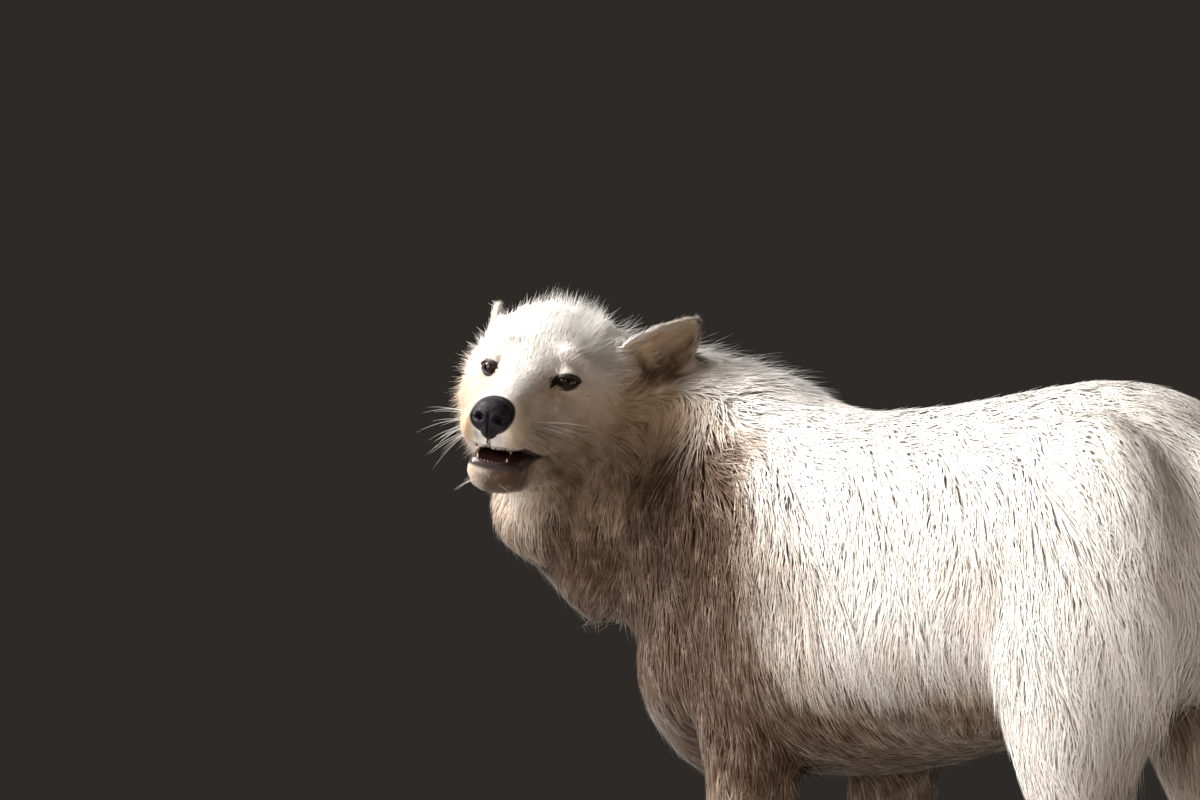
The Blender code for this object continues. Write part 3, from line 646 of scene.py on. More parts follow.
def emptied_mouth(points):
    """Moves what stands in the mouth, such as a tooth's stump, out to the lining."""
    fore, side, height = head_measures(points)
    cosine, sine = math.cos(MOUTH_TILT), math.sin(MOUTH_TILT)
    fore, height = fore - MOUTH_FORE, height - MOUTH_HEIGHT
    along, above = fore * cosine + height * sine, height * cosine - fore * sine
    half_side, half_fore, half_height = MOUTH_SIZE
    reach = reach_in((side, half_side), (along, half_fore), (above, half_height))
    scale = np.where(reach < MOUTH_LINING, MOUTH_LINING / np.maximum(reach, 0.05), 1.0)
    side, along, above = side * scale, along * scale, above * scale
    fore, height = along * cosine - above * sine + MOUTH_FORE, above * cosine + along * sine + MOUTH_HEIGHT
    turn = np.array(HEAD)
    moved = np.stack([side, -fore, height], axis=1) @ turn[:3, :3].T + turn[:3, 3]
    return np.where((scale > 1)[:, None], moved, points)


def closed_lips(points):
    """Raises the lower lip and draws both lips together towards the corners of the mouth."""
    fore, side, height = head_measures(points)
    above = height - MOUTH_HEIGHT + 0.07 * (fore - MOUTH_FORE)
    within = soft(fore, 0.000, 0.020) * soft(np.abs(side), 0.050, 0.040)
    lift = LIP_LIFT * soft(above, 0.0, -0.006) * soft(above, -0.032, -0.016) * within
    corner = soft(fore, 0.085, 0.045) * within
    squeeze = LIP_SQUEEZE * above * corner * soft(np.abs(above), 0.034, 0.014)
    return points + head_way(UP) * (lift - squeeze)[:, None]


def mouth_share(points):
    """How much each point is of the lips, the mouth's lining with them, and how much of the lining alone."""
    fore, side, height = head_measures(points)
    fore, height = fore - MOUTH_FORE, height - LIP_LINE
    lips = reach_in((side, 0.036), (fore, 0.050), (height, np.where(height < 0, 0.0190, 0.0135)))
    lining = reach_in((side, 0.024), (fore, 0.047), (height, 0.0150))
    return soft(lips, 1.34, 1.18), soft(lining, 1.20, 1.08)


def unwrapped(mesh):
    """Lays the skin out flat in its own map, named by UV_MAP."""
    obj = placed("unwrapping", mesh)
    mesh.uv_layers.new(name=UV_MAP)
    bpy.context.view_layer.objects.active = obj
    obj.select_set(True)
    bpy.ops.object.mode_set(mode="EDIT")
    bpy.ops.mesh.select_all(action="SELECT")
    bpy.ops.uv.smart_project(angle_limit=math.radians(66), island_margin=0.002)
    bpy.ops.object.mode_set(mode="OBJECT")
    bpy.data.objects.remove(obj)


# ---------------------------------------------------------------- locks

ROOT_DEPTH = 0.0012  # a lock starts this far inside the skin
WAVES = ((0.26, (61.0, 47.0, 53.0)), (0.24, (-139.0, 117.0, 151.0)))  # how the lie sways: how much, how fast
TUFT_LOCKS, TUFT_REACH = 9, 0.020  # how many locks make a tuft, and how far from its leader they may be
FALL = (0, 0, -0.9)  # the pull on a lock that hangs freely


def lock_template(rings):
    """A closed tapering spike of three sides: which ring and corner each vertex is of, and its faces."""
    bm = bmesh.new()
    made = bmesh.ops.create_circle(bm, cap_ends=True, segments=3, radius=1)
    edges = list({edge for vert in made["verts"] for edge in vert.link_edges})
    for _ in range(rings):
        extruded = bmesh.ops.extrude_edge_only(bm, edges=edges)["geom"]
        verts = [item for item in extruded if isinstance(item, bmesh.types.BMVert)]
        bmesh.ops.translate(bm, verts=verts, vec=(0, 0, 1))
        edges = [item for item in extruded if isinstance(item, bmesh.types.BMEdge)
                 and all(abs(vert.co.z - verts[0].co.z) < 1e-6 for vert in item.verts)]
    bmesh.ops.pointmerge(bm, verts=verts, merge_co=(0, 0, rings))
    bmesh.ops.recalc_face_normals(bm, faces=bm.faces)
    bm.verts.ensure_lookup_table()
    ring = np.array([round(vert.co.z) for vert in bm.verts])
    corner = np.array([math.atan2(vert.co.y, vert.co.x) for vert in bm.verts])
    faces = [[vert.index for vert in face.verts] for face in bm.faces]
    bm.free()
    return ring, corner, faces


def lock_mesh(name, paths, ups, widths, profile, twist, flatness, values, roots_uv):
    """One mesh of many locks. `paths` gives each lock's points, `profile` its width at each of them."""
    count, rings = paths.shape[0], paths.shape[1] - 1
    ring, corner, faces = lock_template(rings)
    along = unit(np.gradient(paths, axis=1))
    across = unit(np.cross(ups, along))
    outward = np.cross(along, across)
    angle = corner[None, :] + twist[:, None]
    reach = widths[:, None] * 0.5 * np.array(profile)[ring][None, :]
    points = paths[:, ring] + across[:, ring] * (np.cos(angle) * reach)[:, :, None]
    points = points + outward[:, ring] * (np.sin(angle) * reach * flatness)[:, :, None]
    size = len(ring)
    mesh = bpy.data.meshes.new(name)
    mesh.vertices.add(count * size)
    mesh.vertices.foreach_set("co", points.ravel())
    loops = np.concatenate([np.array(face) for face in faces])
    starts = np.cumsum([0] + [len(face) for face in faces])[:-1]
    shift = np.arange(count)[:, None]
    mesh.loops.add(count * len(loops))
    mesh.loops.foreach_set("vertex_index", (loops[None, :] + shift * size).ravel())
    mesh.polygons.add(count * len(faces))
    mesh.polygons.foreach_set("loop_start", (starts[None, :] + shift * len(loops)).ravel())
    mesh.update(calc_edges=True)
    round_way = across[:, ring] * np.cos(angle)[:, :, None] + outward[:, ring] * np.sin(angle)[:, :, None]
    shade = unit(blend(round_way, ups[:, ring], SOFTNESS).reshape(-1, 3))
    mesh.polygons.foreach_set("use_smooth", [True] * len(mesh.polygons))
    mesh.normals_split_custom_set_from_vertices(shade)
    patch = np.stack([np.cos(corner) * 0.3, ring / rings - 0.5], axis=1) * PATCH
    laid = roots_uv[:, None, :] + patch[loops][None, :, :]
    mesh.uv_layers.new(name=UV_MAP).data.foreach_set("uv", laid.ravel())
    set_attribute(mesh, "along", np.tile(ring / rings, count))
    for key, value in values.items():
        set_attribute(mesh, key, np.repeat(value, size))
    return mesh


def sown(mesh, density, random):
    """Roots spread over the skin, `density` to the square metre: places, map places and shares of triangles."""
    mesh.calc_loop_triangles()
    corners, loops = (column(mesh.loop_triangles, key, 3, np.int32) for key in ("vertices", "loops"))
    flat = column(mesh.uv_layers[UV_MAP].data, "uv", 2)
    points = points_of(mesh)
    a, b, c = (points[corners[:, k]] for k in range(3))
    area = np.linalg.norm(np.cross(b - a, c - a), axis=1) / 2
    sums = np.cumsum(area * density[corners].mean(axis=1))
    total = int(sums[-1])
    picks = (np.arange(total) + random.random(total)) / total * sums[-1]
    chosen = np.minimum(np.searchsorted(sums, picks), len(corners) - 1)
    first, second = random.random(total), random.random(total)
    over = first + second > 1
    first, second = np.where(over, 1 - first, first), np.where(over, 1 - second, second)
    shares = np.stack([1 - first - second, first, second], axis=1)
    roots = (points[corners[chosen]] * shares[:, :, None]).sum(axis=1)
    places = (flat[loops[chosen]] * shares[:, :, None]).sum(axis=1)
    return roots, places, corners[chosen], shares


def grown(skin, roots, of, bands, random):
    """The paths of locks along the skin, their upward ways, their tufts' leaders and how far each strays."""
    count = len(roots)
    here = roots.copy()
    way = unit(of["lie"])
    sway = sum(strength * np.sin(roots @ np.array(speed)) for strength, speed in WAVES)
    turn = (random.random(count) - 0.5) * 0.50 + sway
    length = of["length"] * (0.70 + 0.55 * random.random(count))
    depth = of["depth"] * of["loft"] * (0.72 + 0.36 * random.random(count))
    stray = random.random(count) ** (12 - 14 * of["stand"])  # near 1 for the few hairs that leave the coat
    stand = np.clip(of["stand"] * (0.20 + 1.5 * stray), 0, 0.9)
    free = of["free"] * (0.50 + 1.4 * stray)
    bend = (random.random(count) - 0.5) * 0.55
    path, ups = [roots - unit(of["up"]) * ROOT_DEPTH], [unit(of["up"])]
    for step in range(1, bands + 2):
        share = step / (bands + 1)
        side = np.cross(ups[-1], way)
        spun = unit(way + side * (turn + bend * share)[:, None])
        fall = (free * share)[:, None] * np.array(FALL)
        ahead = unit(spun + fall) * (length / (bands + 1) * np.sqrt(1 - stand**2))[:, None]
        raw = here + ahead
        index = nearest(skin["tree"], raw)
        base, normal = skin["points"][index], skin["normals"][index]
        above = dot(raw - base, normal)
        wanted = depth * (1 - (1 - share) ** 1.8) + stand * length * share
        loose = np.clip(above - wanted, 0, None) * np.clip(free * 1.3, 0, 1)
        here = raw + normal * (wanted + loose - above)[:, None]
        path.append(here)
        ups.append(normal)
        way = unit(blend(skin["lie"][index], way, 0.35))
    path = np.stack(path, axis=1)
    # tips draw together into tufts
    groups = max(1, count // TUFT_LOCKS)
    leaders = random.choice(count, groups, replace=False)
    leader = leaders[nearest(tree_of(roots[leaders]), roots)]
    gap = path[leader] - path
    drawn = (of["gather"] * (1 - stray))[:, None, None]
    drawn = drawn * (np.arange(bands + 2) / (bands + 1))[None, :, None] ** 1.4
    near = (np.linalg.norm(gap[:, 0], axis=1) < TUFT_REACH)[:, None, None]
    return path + gap * drawn * near, np.stack(ups, axis=1), leader, stray


# ---------------------------------------------------------------- finishes


class Wire:
    """A socket that gives a number. Sums, differences, products and powers of it add Math nodes."""

    def __init__(self, finish, socket):
        self.finish, self.socket = finish, socket

    def maths(self, operation, first, second):
        return self.finish.node("ShaderNodeMath", {"operation": operation}, {0: first, 1: second})

    def __add__(self, other):
        return self.maths("ADD", self, other)

    __radd__ = __add__

    def __sub__(self, other):
        return self.maths("SUBTRACT", self, other)

    def __rsub__(self, other):
        return self.maths("SUBTRACT", other, self)

    def __mul__(self, other):
        return self.maths("MULTIPLY", self, other)

    def __pow__(self, other):
        return self.maths("POWER", self, other)


class Finish:
    """A material on the make: `node` adds any node, and the rest are the few used again and again."""

    def __init__(self, name):
        self.material = bpy.data.materials.new(name)
        self.material.use_nodes = True
        self.tree = self.material.node_tree
        self.tree.nodes.clear()

    def node(self, kind, settings, inputs, output=0):
        made = self.tree.nodes.new(kind)
        for key, value in settings.items():
            setattr(made, key, value)
        for key, value in inputs.items():
            if isinstance(value, Wire):
                self.tree.links.new(value.socket, made.inputs[key])
            elif isinstance(value, tuple) and len(made.inputs[key].default_value) == len(value) + 1:
                made.inputs[key].default_value = (*value, 1)
            else:
                made.inputs[key].default_value = value
        return Wire(self, made.outputs[output]) if made.outputs else None

    def place(self):
        return self.node("ShaderNodeTexCoord", {}, {}, output="Object")

    def attribute(self, name):
        return self.node("ShaderNodeAttribute", {"attribute_name": name}, {}, output="Fac")

    def noise(self, scale, detail=3.0):
        return self.node("ShaderNodeTexNoise", {}, {"Vector": self.place(), "Scale": scale, "Detail": detail})

    def between(self, value, low, high):
        """0 at `low` and 1 at `high`, held to that range."""
        return self.node("ShaderNodeMapRange", {}, {"Value": value, "From Min": low, "From Max": high})

    def mix(self, share, first, second):
        settings = {"data_type": "RGBA", "clamp_factor": True}
        return self.node("ShaderNodeMix", settings, {0: share, 6: first, 7: second}, output=2)

    def bump(self, height, distance, strength):
        return self.node("ShaderNodeBump", {}, {"Height": height, "Distance": distance, "Strength": strength})

    def done(self, inputs):
        shader = self.node("ShaderNodeBsdfPrincipled", {}, inputs)
        self.node("ShaderNodeOutputMaterial", {}, {"Surface": shader})
        return self.material


# a lock's colours at its tip and its root, the darker root colours being painted shade, and those of bare skin
TIP, ROOT_IN_SHADE = (0.96, 0.945, 0.92), (0.91, 0.87, 0.81)
BUFF_TIP, BUFF_ROOT_IN_SHADE = (0.77, 0.57, 0.39), (0.52, 0.34, 0.21)
# the markings' brown: a stain on the elbows, painted shade on throat, face, neck, belly, forelegs and ears
BROWN_STAIN_AND_SHADE = (0.115, 0.060, 0.032)
BARE = (0.018, 0.013, 0.012)
LIP = (0.045, 0.030, 0.028)
PINK = (0.30, 0.135, 0.115)
# the mouth's lining darkened by painted shade in its hollow
MOUTH_IN_SHADE = (0.055, 0.018, 0.016)


def coat_colour(f):
    """The colour of skin and locks alike: white, buff and brown by the markings, which are partly painted
    shade, and darker at a lock's root as painted shade.
    """
    along, tone = f.attribute("along"), f.attribute("tone")
    buff, brown = f.attribute("buff"), f.attribute("brown")
    # painted shade: each lock darkens towards its root
    tip = 1 - (1 - along) ** 1.7
    pale = f.mix(tip, ROOT_IN_SHADE, TIP)
    warm = f.mix(tip, BUFF_ROOT_IN_SHADE, BUFF_TIP)
    patches = f.between(f.noise(11.0, 4.0), 0.35, 0.75)
    warmth = buff * (0.70 + patches * 0.45) + (tone - 0.58) * 0.50 + patches * 0.17
    colour = f.mix(warmth, pale, warm)
    # brown by the markings, most of it painted shade
    return f.mix(brown * (0.50 + f.noise(70.0, 2.0)) * (0.65 + tone * 0.8), colour, BROWN_STAIN_AND_SHADE)


def coat_finish():
    f = Finish("white_coat")
    return f.done({
        "Base Color": coat_colour(f),
        "Roughness": 0.52 + f.attribute("tone") * 0.16,
        "Specular IOR Level": 0.35,
        "Sheen Weight": 0.25,
        "Sheen Roughness": 0.4,
        "Normal": f.bump(f.noise(900.0, 1.0), 0.0002, 0.5),
    })


def skin_finish():
    """Under the coat the same markings, bare black or pink skin at eyes, nose and mouth, and the mouth's lining
    in painted shade.
    """
    f = Finish("skin_and_lips")
    bare, lips, mouth, pink = (f.attribute(name) for name in ("bare", "lips", "mouth", "pink"))
    grain = f.noise(420.0, 4.0)
    colour = f.mix(bare * (1.0 + grain * 0.4), coat_colour(f), BARE)
    lip = f.mix(pink * (0.55 + f.noise(160.0) * 0.7), LIP, PINK)
    # the mouth's lining in painted shade
    colour = f.mix(mouth, f.mix(lips, colour, lip), MOUTH_IN_SHADE)
    wet = f.node("ShaderNodeMath", {"operation": "MAXIMUM"}, {0: lips, 1: mouth})
    return f.done({
        "Base Color": colour,
        "Roughness": 0.66 - bare * 0.22 - wet * 0.34 + grain * 0.08,
        "Normal": f.bump(grain + f.noise(1500.0) * 0.4, 0.0006, 0.6),
    })


def nose_finish():
    """Moist black leather with a pebbled grain, dry rougher patches, and a bluish-violet sheen painted into
    those patches and the pebbles.
    """
    f = Finish("nose_leather")
    # the second colour is a painted bluish-violet sheen
    black, violet_sheen = (0.005, 0.004, 0.006), (0.034, 0.028, 0.046)
    grain = {"Vector": f.place(), "Scale": 620.0}
    cells = f.node("ShaderNodeTexVoronoi", {"feature": "DISTANCE_TO_EDGE"}, grain)
    pebbles = f.between(cells, 0.0, 0.22)
    # patches of dry dust, rougher and less glossy, which also carry the painted sheen
    dust_and_sheen = f.between(f.noise(90.0, 4.0), 0.45, 0.75)
    return f.done({
        "Base Color": f.mix(dust_and_sheen * 0.5 + pebbles * 0.3, black, violet_sheen),
        "Roughness": 0.46 + dust_and_sheen * 0.16,
        "Specular IOR Level": 0.18,
        "Coat Weight": 0.08 - dust_and_sheen * 0.05,
        "Coat Roughness": 0.22,
        "Normal": f.bump(pebbles, 0.0004, 0.7),
    })


def eye_finish(name):
    """Pupil, amber-brown iris with a dark rim, and dark white of the eye, all round the gaze."""
    f = Finish(f"eye_{name}")
    inner, outer, fibre = (0.070, 0.022, 0.011), (0.026, 0.009, 0.006), (0.016, 0.006, 0.004)
    rim, white, pupil = (0.018, 0.010, 0.008), (0.06, 0.035, 0.028), (0.002, 0.002, 0.002)
    centre, gaze = eye_frame(name)[:2]
    vectors = "ShaderNodeVectorMath"
    offset = f.node(vectors, {"operation": "SUBTRACT"}, {0: f.place(), 1: tuple(centre)})
    facing = f.node(vectors, {"operation": "NORMALIZE"}, {0: offset})
    cosine = f.node(vectors, {"operation": "DOT_PRODUCT"}, {0: facing, 1: tuple(gaze)}, output="Value")
    angle = f.node("ShaderNodeMath", {"operation": "ARCCOSINE"}, {0: cosine})
    fibres = f.noise(700.0, 5.0)
    colour = f.mix(f.between(angle + fibres * 0.10, 0.34, 0.62), inner, outer)
    colour = f.mix(fibres * 0.55, colour, fibre)
    for low, high, shade in ((0.56, 0.64, rim), (0.72, 0.85, white), (0.32, 0.28, pupil)):
        colour = f.mix(f.between(angle, low, high), colour, shade)
    return f.done({"Base Color": colour, "Roughness": 0.10, "Specular IOR Level": 0.30})


def rim_finish():
    f = Finish("eyelid_rim")
    grain = f.noise(800.0)
    return f.done({
        "Base Color": f.mix(grain, (0.008, 0.006, 0.006), (0.024, 0.017, 0.016)),
        "Roughness": 0.48 + grain * 0.2,
        "Normal": f.bump(grain, 0.0003, 0.6),
    })


def tooth_finish():
    f = Finish("ivory_tooth")
    ivory, yellow = (0.82, 0.77, 0.66), (0.62, 0.52, 0.36)
    stain = f.noise(260.0)
    return f.done({
        "Base Color": f.mix(f.between(stain, 0.35, 0.75), ivory, yellow),
        "Roughness": 0.22 + stain * 0.15,
        "Coat Weight": 0.4,
        "Normal": f.bump(stain, 0.0003, 0.4),
    })


def claw_finish():
    f = Finish("dark_horn")
    streaks = f.node("ShaderNodeMapping", {}, {"Vector": f.place(), "Scale": (1.0, 0.12, 1.0)})
    grain = f.node("ShaderNodeTexNoise", {}, {"Vector": streaks, "Scale": 900.0, "Detail": 4.0})
    return f.done({
        "Base Color": f.mix(grain, (0.030, 0.022, 0.018), (0.23, 0.17, 0.12)),
        "Roughness": 0.32 + grain * 0.25,
        "Normal": f.bump(grain, 0.0003, 0.5),
    })


def whisker_finish():
    f = Finish("whisker")
    tint = f.noise(40.0)
    colour = f.mix(tint, (0.88, 0.86, 0.82), (0.70, 0.66, 0.60))
    return f.done({"Base Color": colour, "Roughness": 0.30 + tint * 0.1})


def floor_finish():
    f = Finish("pale_floor")
    return f.done({"Base Color": f.mix(f.noise(35.0, 4.0), DARKER_FLOOR, FLOOR), "Roughness": 1.0})


# ---------------------------------------------------------------- eyes, nose, teeth, claws and whiskers

RIM_RADIUS, RIM_STEPS = 0.00125, 64
RIM_REACH, RIM_OUT = 0.97, 0.0050  # the rim's line by the lids' edge, and the least it stands out of the eye
CORNEA = 0.055  # how far the cornea bulges, by the eye's radius
NOSE_VOXEL, NOSE_SMOOTHING = 0.0008, 14
# in the head's frame: how far each nostril's middle is out and down, and half of its size, then its comma's
NOSTRIL, NOSTRIL_SIZE = (0.0095, 0.0365), (0.0052, 0.0048)
COMMA, COMMA_SIZE, COMMA_RISE = (0.0150, 0.0390), (0.0046, 0.0021), 0.35
NOSTRIL_DEPTH, COMMA_DEPTH, GROOVE_DEPTH, NOSTRIL_EDGE = 0.0060, 0.0034, 0.0016, 0.0008


def eyeball(name, finish):
    """A ball with the cornea's bulge over the iris."""
    centre, gaze = eye_frame(name)[:2]
    bm = bmesh.new()
    bmesh.ops.create_uvsphere(bm, u_segments=48, v_segments=32, radius=EYE_RADIUS)
    aim = gaze.to_track_quat("Z", "Y").to_matrix().to_4x4()
    for vert in bm.verts:
        angle = math.atan2(math.hypot(vert.co.x, vert.co.y), vert.co.z)
        vert.co *= 1 + CORNEA * float(soft(angle, 0.68, 0.30))
    bmesh.ops.transform(bm, matrix=Matrix.Translation(centre) @ aim, verts=bm.verts)
    obj = piece(f"eyeball_{name}", mesh_from(bm, "eyeball"), finish)
    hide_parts(f"eye_{name}")


def lid_rim(name, finish):
    """The dark wet edge of both lids, from the inner corner round to the outer one."""
    centre, gaze, outer, above = eye_frame(name)
    curve = bpy.data.curves.new("rim", "CURVE")
    curve.dimensions = "3D"
    curve.bevel_depth = RIM_RADIUS
    curve.bevel_resolution = 3
    line = curve.splines.new("POLY")
    line.points.add(RIM_STEPS - 1)
    for step in range(RIM_STEPS):
        cosine, sine = math.cos(math.tau * step / RIM_STEPS), math.sin(math.tau * step / RIM_STEPS)
        across = cosine * (OUTER_CORNER if cosine > 0 else INNER_CORNER) * RIM_REACH
        rise = sine * abs(sine) * (UPPER_LID if sine > 0 else LOWER_LID)
        reach = math.hypot(across, rise)
        out = math.sqrt(max((EYE_RADIUS + LID_THICKNESS / 2) ** 2 - reach**2, RIM_OUT**2))
        line.points[step].co = (*(centre + gaze * out + outer * across + above * rise), 1)
    line.use_cyclic_u = True
    piece(f"eyelid_rim_{name}", applied(placed("rim", curve)), finish)


def nose(finish):
    """The pad with its two comma-shaped nostrils and the groove between them."""
    remesh = ("REMESH", {"mode": "VOXEL", "voxel_size": NOSE_VOXEL})
    smooth = ("SMOOTH", {"factor": 0.5, "iterations": NOSE_SMOOTHING})
    mesh = modified(mesh_from(merged_copy("nose", 0.0004), "nose"), remesh, smooth)
    points = points_of(mesh)
    fore, side, height = head_measures(points)
    across = np.abs(side)
    front = soft(fore, 0.108, 0.116)
    nostril = reach_in((across - NOSTRIL[0], NOSTRIL_SIZE[0]), (height + NOSTRIL[1], NOSTRIL_SIZE[1]))
    along = across - COMMA[0]
    comma = reach_in((along, COMMA_SIZE[0]), (height + COMMA[1] - along * COMMA_RISE, COMMA_SIZE[1]))
    push = NOSTRIL_DEPTH * soft(nostril, 1.0, 0.25) * front
    push += COMMA_DEPTH * soft(comma, 1.0, 0.2) * soft(fore, 0.098, 0.106)
    push += GROOVE_DEPTH * soft(across, 0.0018, 0.0004) * soft(height, -0.030, -0.036) * front
    push -= NOSTRIL_EDGE * soft(nostril, 1.9, 1.15) * soft(nostril, 0.8, 1.15) * front
    set_points(mesh, points - head_way(FORWARD) * push[:, None])
    obj = piece("nose_pad", mesh, finish)
    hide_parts("nose")


def peg(bm, root, tip, radius, bow=0.0):
    """A closed cone, blunt at its root, fine at its tip and curved by `bow` halfway."""
    made = bmesh.ops.create_uvsphere(bm, u_segments=14, v_segments=12, radius=1)["verts"]
    axis = tip - root
    aim = axis.to_track_quat("Z", "Y").to_matrix()
    for vert in made:
        x, y, z = vert.co
        along = (z + 1) / 2
        girth = radius * (1 - 0.62 * along) * (1.12 if along < 0.5 else 1.0)
        curve = bow * (along - along**2) * 4
        vert.co = root + aim @ Vector((x * girth, y * girth + curve, 0)) + axis * along


# in the head's frame, for the left side: the root and the tip of each eye tooth, and how it bows
FANGS = (
    (at(0.0900, 0.016975, -0.058), at(0.0885, 0.0175, -0.0705), 0.0006),
    (at(0.0900, 0.0140, -0.090), at(0.0905, 0.01512, -0.0750), -0.0006),
)
FANG_RADIUS, INCISOR_RADIUS, INCISOR_SPACING = 0.0026, 0.0019, 0.0037
INCISOR_FORE, INCISOR_CURVE = 0.0955, 30  # the front of their row and how it curves back at its sides
INCISOR_ROOT, INCISOR_TIP = -0.090, -0.0795


def teeth(finish):
    """The eye teeth of both jaws and the small front teeth of the lower one, as far as the lips show them."""
    bm = bmesh.new()
    for sign in SIDES.values():
        mirror = Matrix.Diagonal((sign, 1, 1))
        for root, tip, bow in FANGS:
            peg(bm, HEAD @ (mirror @ root), HEAD @ (mirror @ tip), FANG_RADIUS, bow)
    for number in range(6):
        side = (number - 2.5) * INCISOR_SPACING
        fore = INCISOR_FORE - INCISOR_CURVE * side**2
        root, tip = at(fore, side, INCISOR_ROOT), at(fore + 0.001, side * 1.05, INCISOR_TIP)
        peg(bm, HEAD @ root, HEAD @ tip, INCISOR_RADIUS)
    piece("teeth", mesh_from(bm, "teeth"), finish)


# by the box of a claw's solid: how far its root is behind and up, and how far its tip is back and down
CLAW_ROOT, CLAW_TIP = (0.006, 0.0030), (0.0005, -0.0045)
CLAW_RADIUS, CLAW_BOW = 0.0041, 0.0022


def claws(finish):
    """Each claw grows from between the toe's hair and bows down to the floor."""
    bm = bmesh.new()
    for name in CLAWS:
        low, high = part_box(name)
        middle = (low + high) / 2
        root = Vector((middle.x, high.y + CLAW_ROOT[0], middle.z + CLAW_ROOT[1]))
        tip = Vector((middle.x, low.y + CLAW_TIP[0], low.z + CLAW_TIP[1]))
        peg(bm, root, tip, CLAW_RADIUS, CLAW_BOW)
    obj = piece("claws", mesh_from(bm, "claws"), finish)
    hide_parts(*CLAWS)


def whiskers(finish, random):
    """Stiff hairs from the upper lips, a few from the brows and short ones from the chin."""
    sources = []
    for sign in SIDES.values():
        for row in range(4):
            for number in range(5):
                root = at(0.094 - 0.008 * number, sign * (0.0255 + 0.0016 * number), -0.040 - 0.0055 * row)
                lean = at(-0.25 - 0.16 * number, sign, 0.12 - 0.24 * row)
                sources.append((root, lean, 0.048 + 0.006 * number, 0.00034))
        for number in range(3):
            root = at(0.012, sign * (0.030 + 0.005 * number), 0.022)
            sources.append((root, at(0.35, sign * 0.7, 0.75), 0.030, 0.00032))
        for number in range(5):
            root = at(0.098 - 0.014 * number, sign * (0.012 + 0.004 * number), -0.100 - 0.003 * (number % 2))
            sources.append((root, at(0.3 - 0.2 * number, sign, -0.5), 0.020, 0.00024))
    profile = (1.5, 1.4, 1.25, 1.1, 0.9, 0.65, 0.4, 0)
    droop = at(-0.30, 0, -0.35) * 0.6
    paths = []
    for root, lean, length, _ in sources:
        length = length * (0.75 + 0.5 * random.random())
        lean = (lean + Vector(random.normal(0, 0.12, 3))).normalized()
        shares = [step / (len(profile) - 1) for step in range(len(profile))]
        paths.append([HEAD @ (root + lean * length * share + droop * length * share**2) for share in shares])
    paths = np.array(paths)
    ups = np.broadcast_to(head_way(UP), paths.shape)
    widths = np.array([width for *_, width in sources])
    twist, places = np.zeros(len(paths)), np.zeros((len(paths), 2))
    mesh = lock_mesh("whiskers", paths, ups, widths, profile, twist, 1.0, {}, places)
    piece("whiskers", mesh, finish)


# ---------------------------------------------------------------- the skin and its coat

PER_SQUARE_METRE = 1e4


def dressed_skin(finish):
    """The skin's mesh, what its locks follow, and the coat's measures at each of its points."""
    closed, marks, names = flesh()
    eased(closed)
    mesh = lighter(closed)
    refined(mesh)
    shares = region_shares(mesh, marks, names)
    points, normals, edges = points_of(mesh), normals_of(mesh), edges_of(mesh)
    coat = coat_measures(points, normals, shares)
    lie = smoothed(lie_of_coat(points, normals, shares), edges, LIE_PASSES)
    rows = np.stack([*coat.values(), *markings(points, normals, shares)], axis=1)
    coat = dict(zip((*COAT_KEYS, "buff", "brown"), smoothed(rows, edges, COAT_PASSES).T))
    lips, mouth = mouth_share(points)
    fore, _, height = head_measures(points)
    pink = mouth * soft(height, -0.082, -0.087) * soft(fore, 0.050, 0.075)
    points = points - normals * coat["depth"][:, None]
    points = smoothed(points, edges, SKIN_PASSES, 1 - soft(coat["depth"], 0.006, 0.012)[:, None])
    points = closed_lips(emptied_mouth(calmed(points, edges)))
    points, bare = modelled_face(points)
    set_points(mesh, points)
    normals = normals_of(mesh)
    lie = unit(lie - normals * dot(lie, normals)[:, None])
    painted = {"bare": bare, "lips": lips, "mouth": mouth, "pink": pink}
    # buff and brown carry the coat's own tints and its painted shade
    for key, value in {**painted, "buff": coat["buff"], "brown": coat["brown"]}.items():
        set_attribute(mesh, key, value)
    # the skin takes its colour part of the way from a lock's root to its tip, and so part of the painted root
    # shade
    set_attribute(mesh, "along", np.full(len(points), 0.45))
    set_attribute(mesh, "tone", np.full(len(points), 0.5))
    unwrapped(mesh)
    obj = piece("skin", mesh, finish)
    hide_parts(*FLESH)
    hairy = np.clip(1.3 - 1.7 * bare, 0, 1) * (1 - lips) * (1 - mouth)
    coat["density"] = coat["density"] * PER_SQUARE_METRE * hairy
    face = np.clip(shares["skull"] + shares["ears"], 0, 1)
    tufts = 0.20 + 0.36 * face * soft(coat["length"], 0.006, 0.010) + 0.36 * soft(coat["free"], 0.30, 0.60)
    gather = tufts * (1 - 0.75 * soft(coat["stand"], 0.15, 0.35))
    skin = {"points": points, "normals": normals, "lie": lie, "tree": tree_of(points)}
    return mesh, skin, {**coat, "lie": lie, "up": normals, "gather": gather}


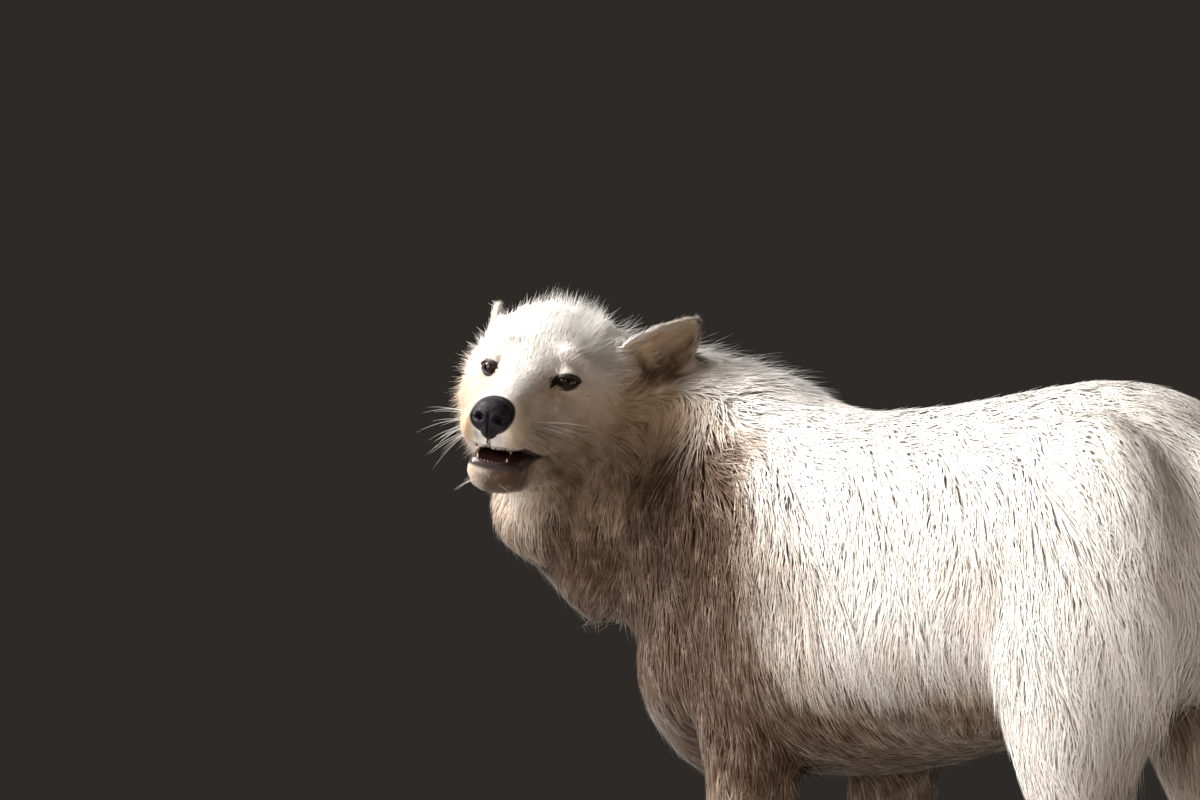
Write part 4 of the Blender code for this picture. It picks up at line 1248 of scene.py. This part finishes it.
def coat_pieces(mesh, skin, fields, finish, random):
    """The locks of three kinds, parted along the body so that no piece holds 200,000 triangles."""
    stands, hangs = soft(fields["stand"], 0.15, 0.30), soft(fields["free"], 0.20, 0.40)
    hanging = np.clip(hangs + stands * (fields["length"] > 0.03), 0, 1)
    short = soft(fields["length"], 0.027, 0.023) * (1 - hanging)
    # each kind's bands between root and tip, the most locks of a piece, where it grows and its widths
    kinds = {
        "hanging": (2, 12000, hanging, (0.75, 1.0, 0.66, 0)),
        "lying": (1, 19000, 1 - hanging - short, (0.85, 0.9, 0)),
        "short": (0, 48000, short, (0.9, 0)),
    }
    for kind, (bands, most, share, profile) in kinds.items():
        roots, places, corners, weights = sown(mesh, fields["density"] * share, random)
        of = {}
        for key, value in fields.items():
            portions = weights.reshape(weights.shape + (1,) * (value.ndim - 1))
            of[key] = (value[corners] * portions).sum(axis=1)
        paths, ups, leader, stray = grown(skin, roots, of, bands, random)
        count = len(roots)
        own = random.random(count)
        tone = np.clip(0.5 * own[leader] + 0.5 * random.random(count), 0, 1)
        widths = of["width"] * (0.75 + 0.6 * random.random(count)) * (1 - 0.55 * stray)
        twist = random.random(count) * math.tau
        order = np.argsort(roots[:, 1], kind="stable")
        for number, some in enumerate(np.array_split(order, math.ceil(count / most)), start=1):
            name = f"coat_{kind}_{number}"
            values = {"tone": tone[some], "buff": of["buff"][some], "brown": of["brown"][some]}
            shape = (paths[some], ups[some], widths[some], profile, twist[some], FLATNESS)
            piece(name, lock_mesh(name, *shape, values, places[some]), finish)


# ---------------------------------------------------------------- camera, light and floor

LENS, SENSOR = 247, 36
CAMERA_PLACE = (5.0133, 5.9938, 0.80)
CAMERA_TURN, CAMERA_DIP = math.radians(142), math.radians(0.2656)
FLOOR, ROOM = (0.34, 0.333, 0.32), (0.026, 0.023, 0.021)
DARKER_FLOOR = tuple(part * 0.94 for part in FLOOR)  # in its patches
FLOOR_RADIUS = 5.0
# each lamp's place, what it is aimed at, its power, its width and its colour
LAMPS = {
    "key": ((1.9, -2.6, 3.4), (0, -0.1, 0.60), 480, 2.6, (1.0, 0.975, 0.94)),
    "fill": ((4.5, 4.5, 1.4), (0, 0, 0.5), 46, 3.0, (1.0, 0.77, 0.58)),
    "side": ((4.6, -1.6, 1.8), (0, 0, 0.6), 140, 2.6, (1.0, 0.97, 0.94)),
}


def camera():
    data = bpy.data.cameras.new("camera")
    data.lens, data.sensor_width = LENS, SENSOR
    obj = placed("camera", data)
    view = Vector((-math.sin(CAMERA_TURN), math.cos(CAMERA_TURN), -math.tan(CAMERA_DIP)))
    obj.location = CAMERA_PLACE
    obj.rotation_euler = view.to_track_quat("-Z", "Y").to_euler()
    bpy.context.scene.camera = obj


def lamps():
    for name, (place, target, power, size, colour) in LAMPS.items():
        data = bpy.data.lights.new(name, "AREA")
        data.energy, data.size, data.color = power, size, colour
        obj = placed(name, data)
        obj.location = place
        obj.rotation_euler = (Vector(target) - Vector(place)).to_track_quat("-Z", "Y").to_euler()


def stage():
    bm = bmesh.new()
    bmesh.ops.create_circle(bm, cap_ends=True, segments=96, radius=FLOOR_RADIUS)
    floor = placed("floor", mesh_from(bm, "floor"))
    floor.data.materials.append(floor_finish())
    world = bpy.data.worlds.new("room")
    bpy.context.scene.world = world
    world.use_nodes = True
    world.node_tree.nodes["Background"].inputs["Color"].default_value = (*ROOM, 1)
    bpy.context.scene.view_settings.view_transform = "Standard"


camera()
stage()
lamps()

rng = np.random.default_rng(SEED)
mesh, skin, fields = dressed_skin(skin_finish())
coat_pieces(mesh, skin, fields, coat_finish(), rng)
rim = rim_finish()
for eye_name in SIDES:
    eyeball(eye_name, eye_finish(eye_name))
    lid_rim(eye_name, rim)
nose(nose_finish())
teeth(tooth_finish())
claws(claw_finish())
whiskers(whisker_finish(), rng)
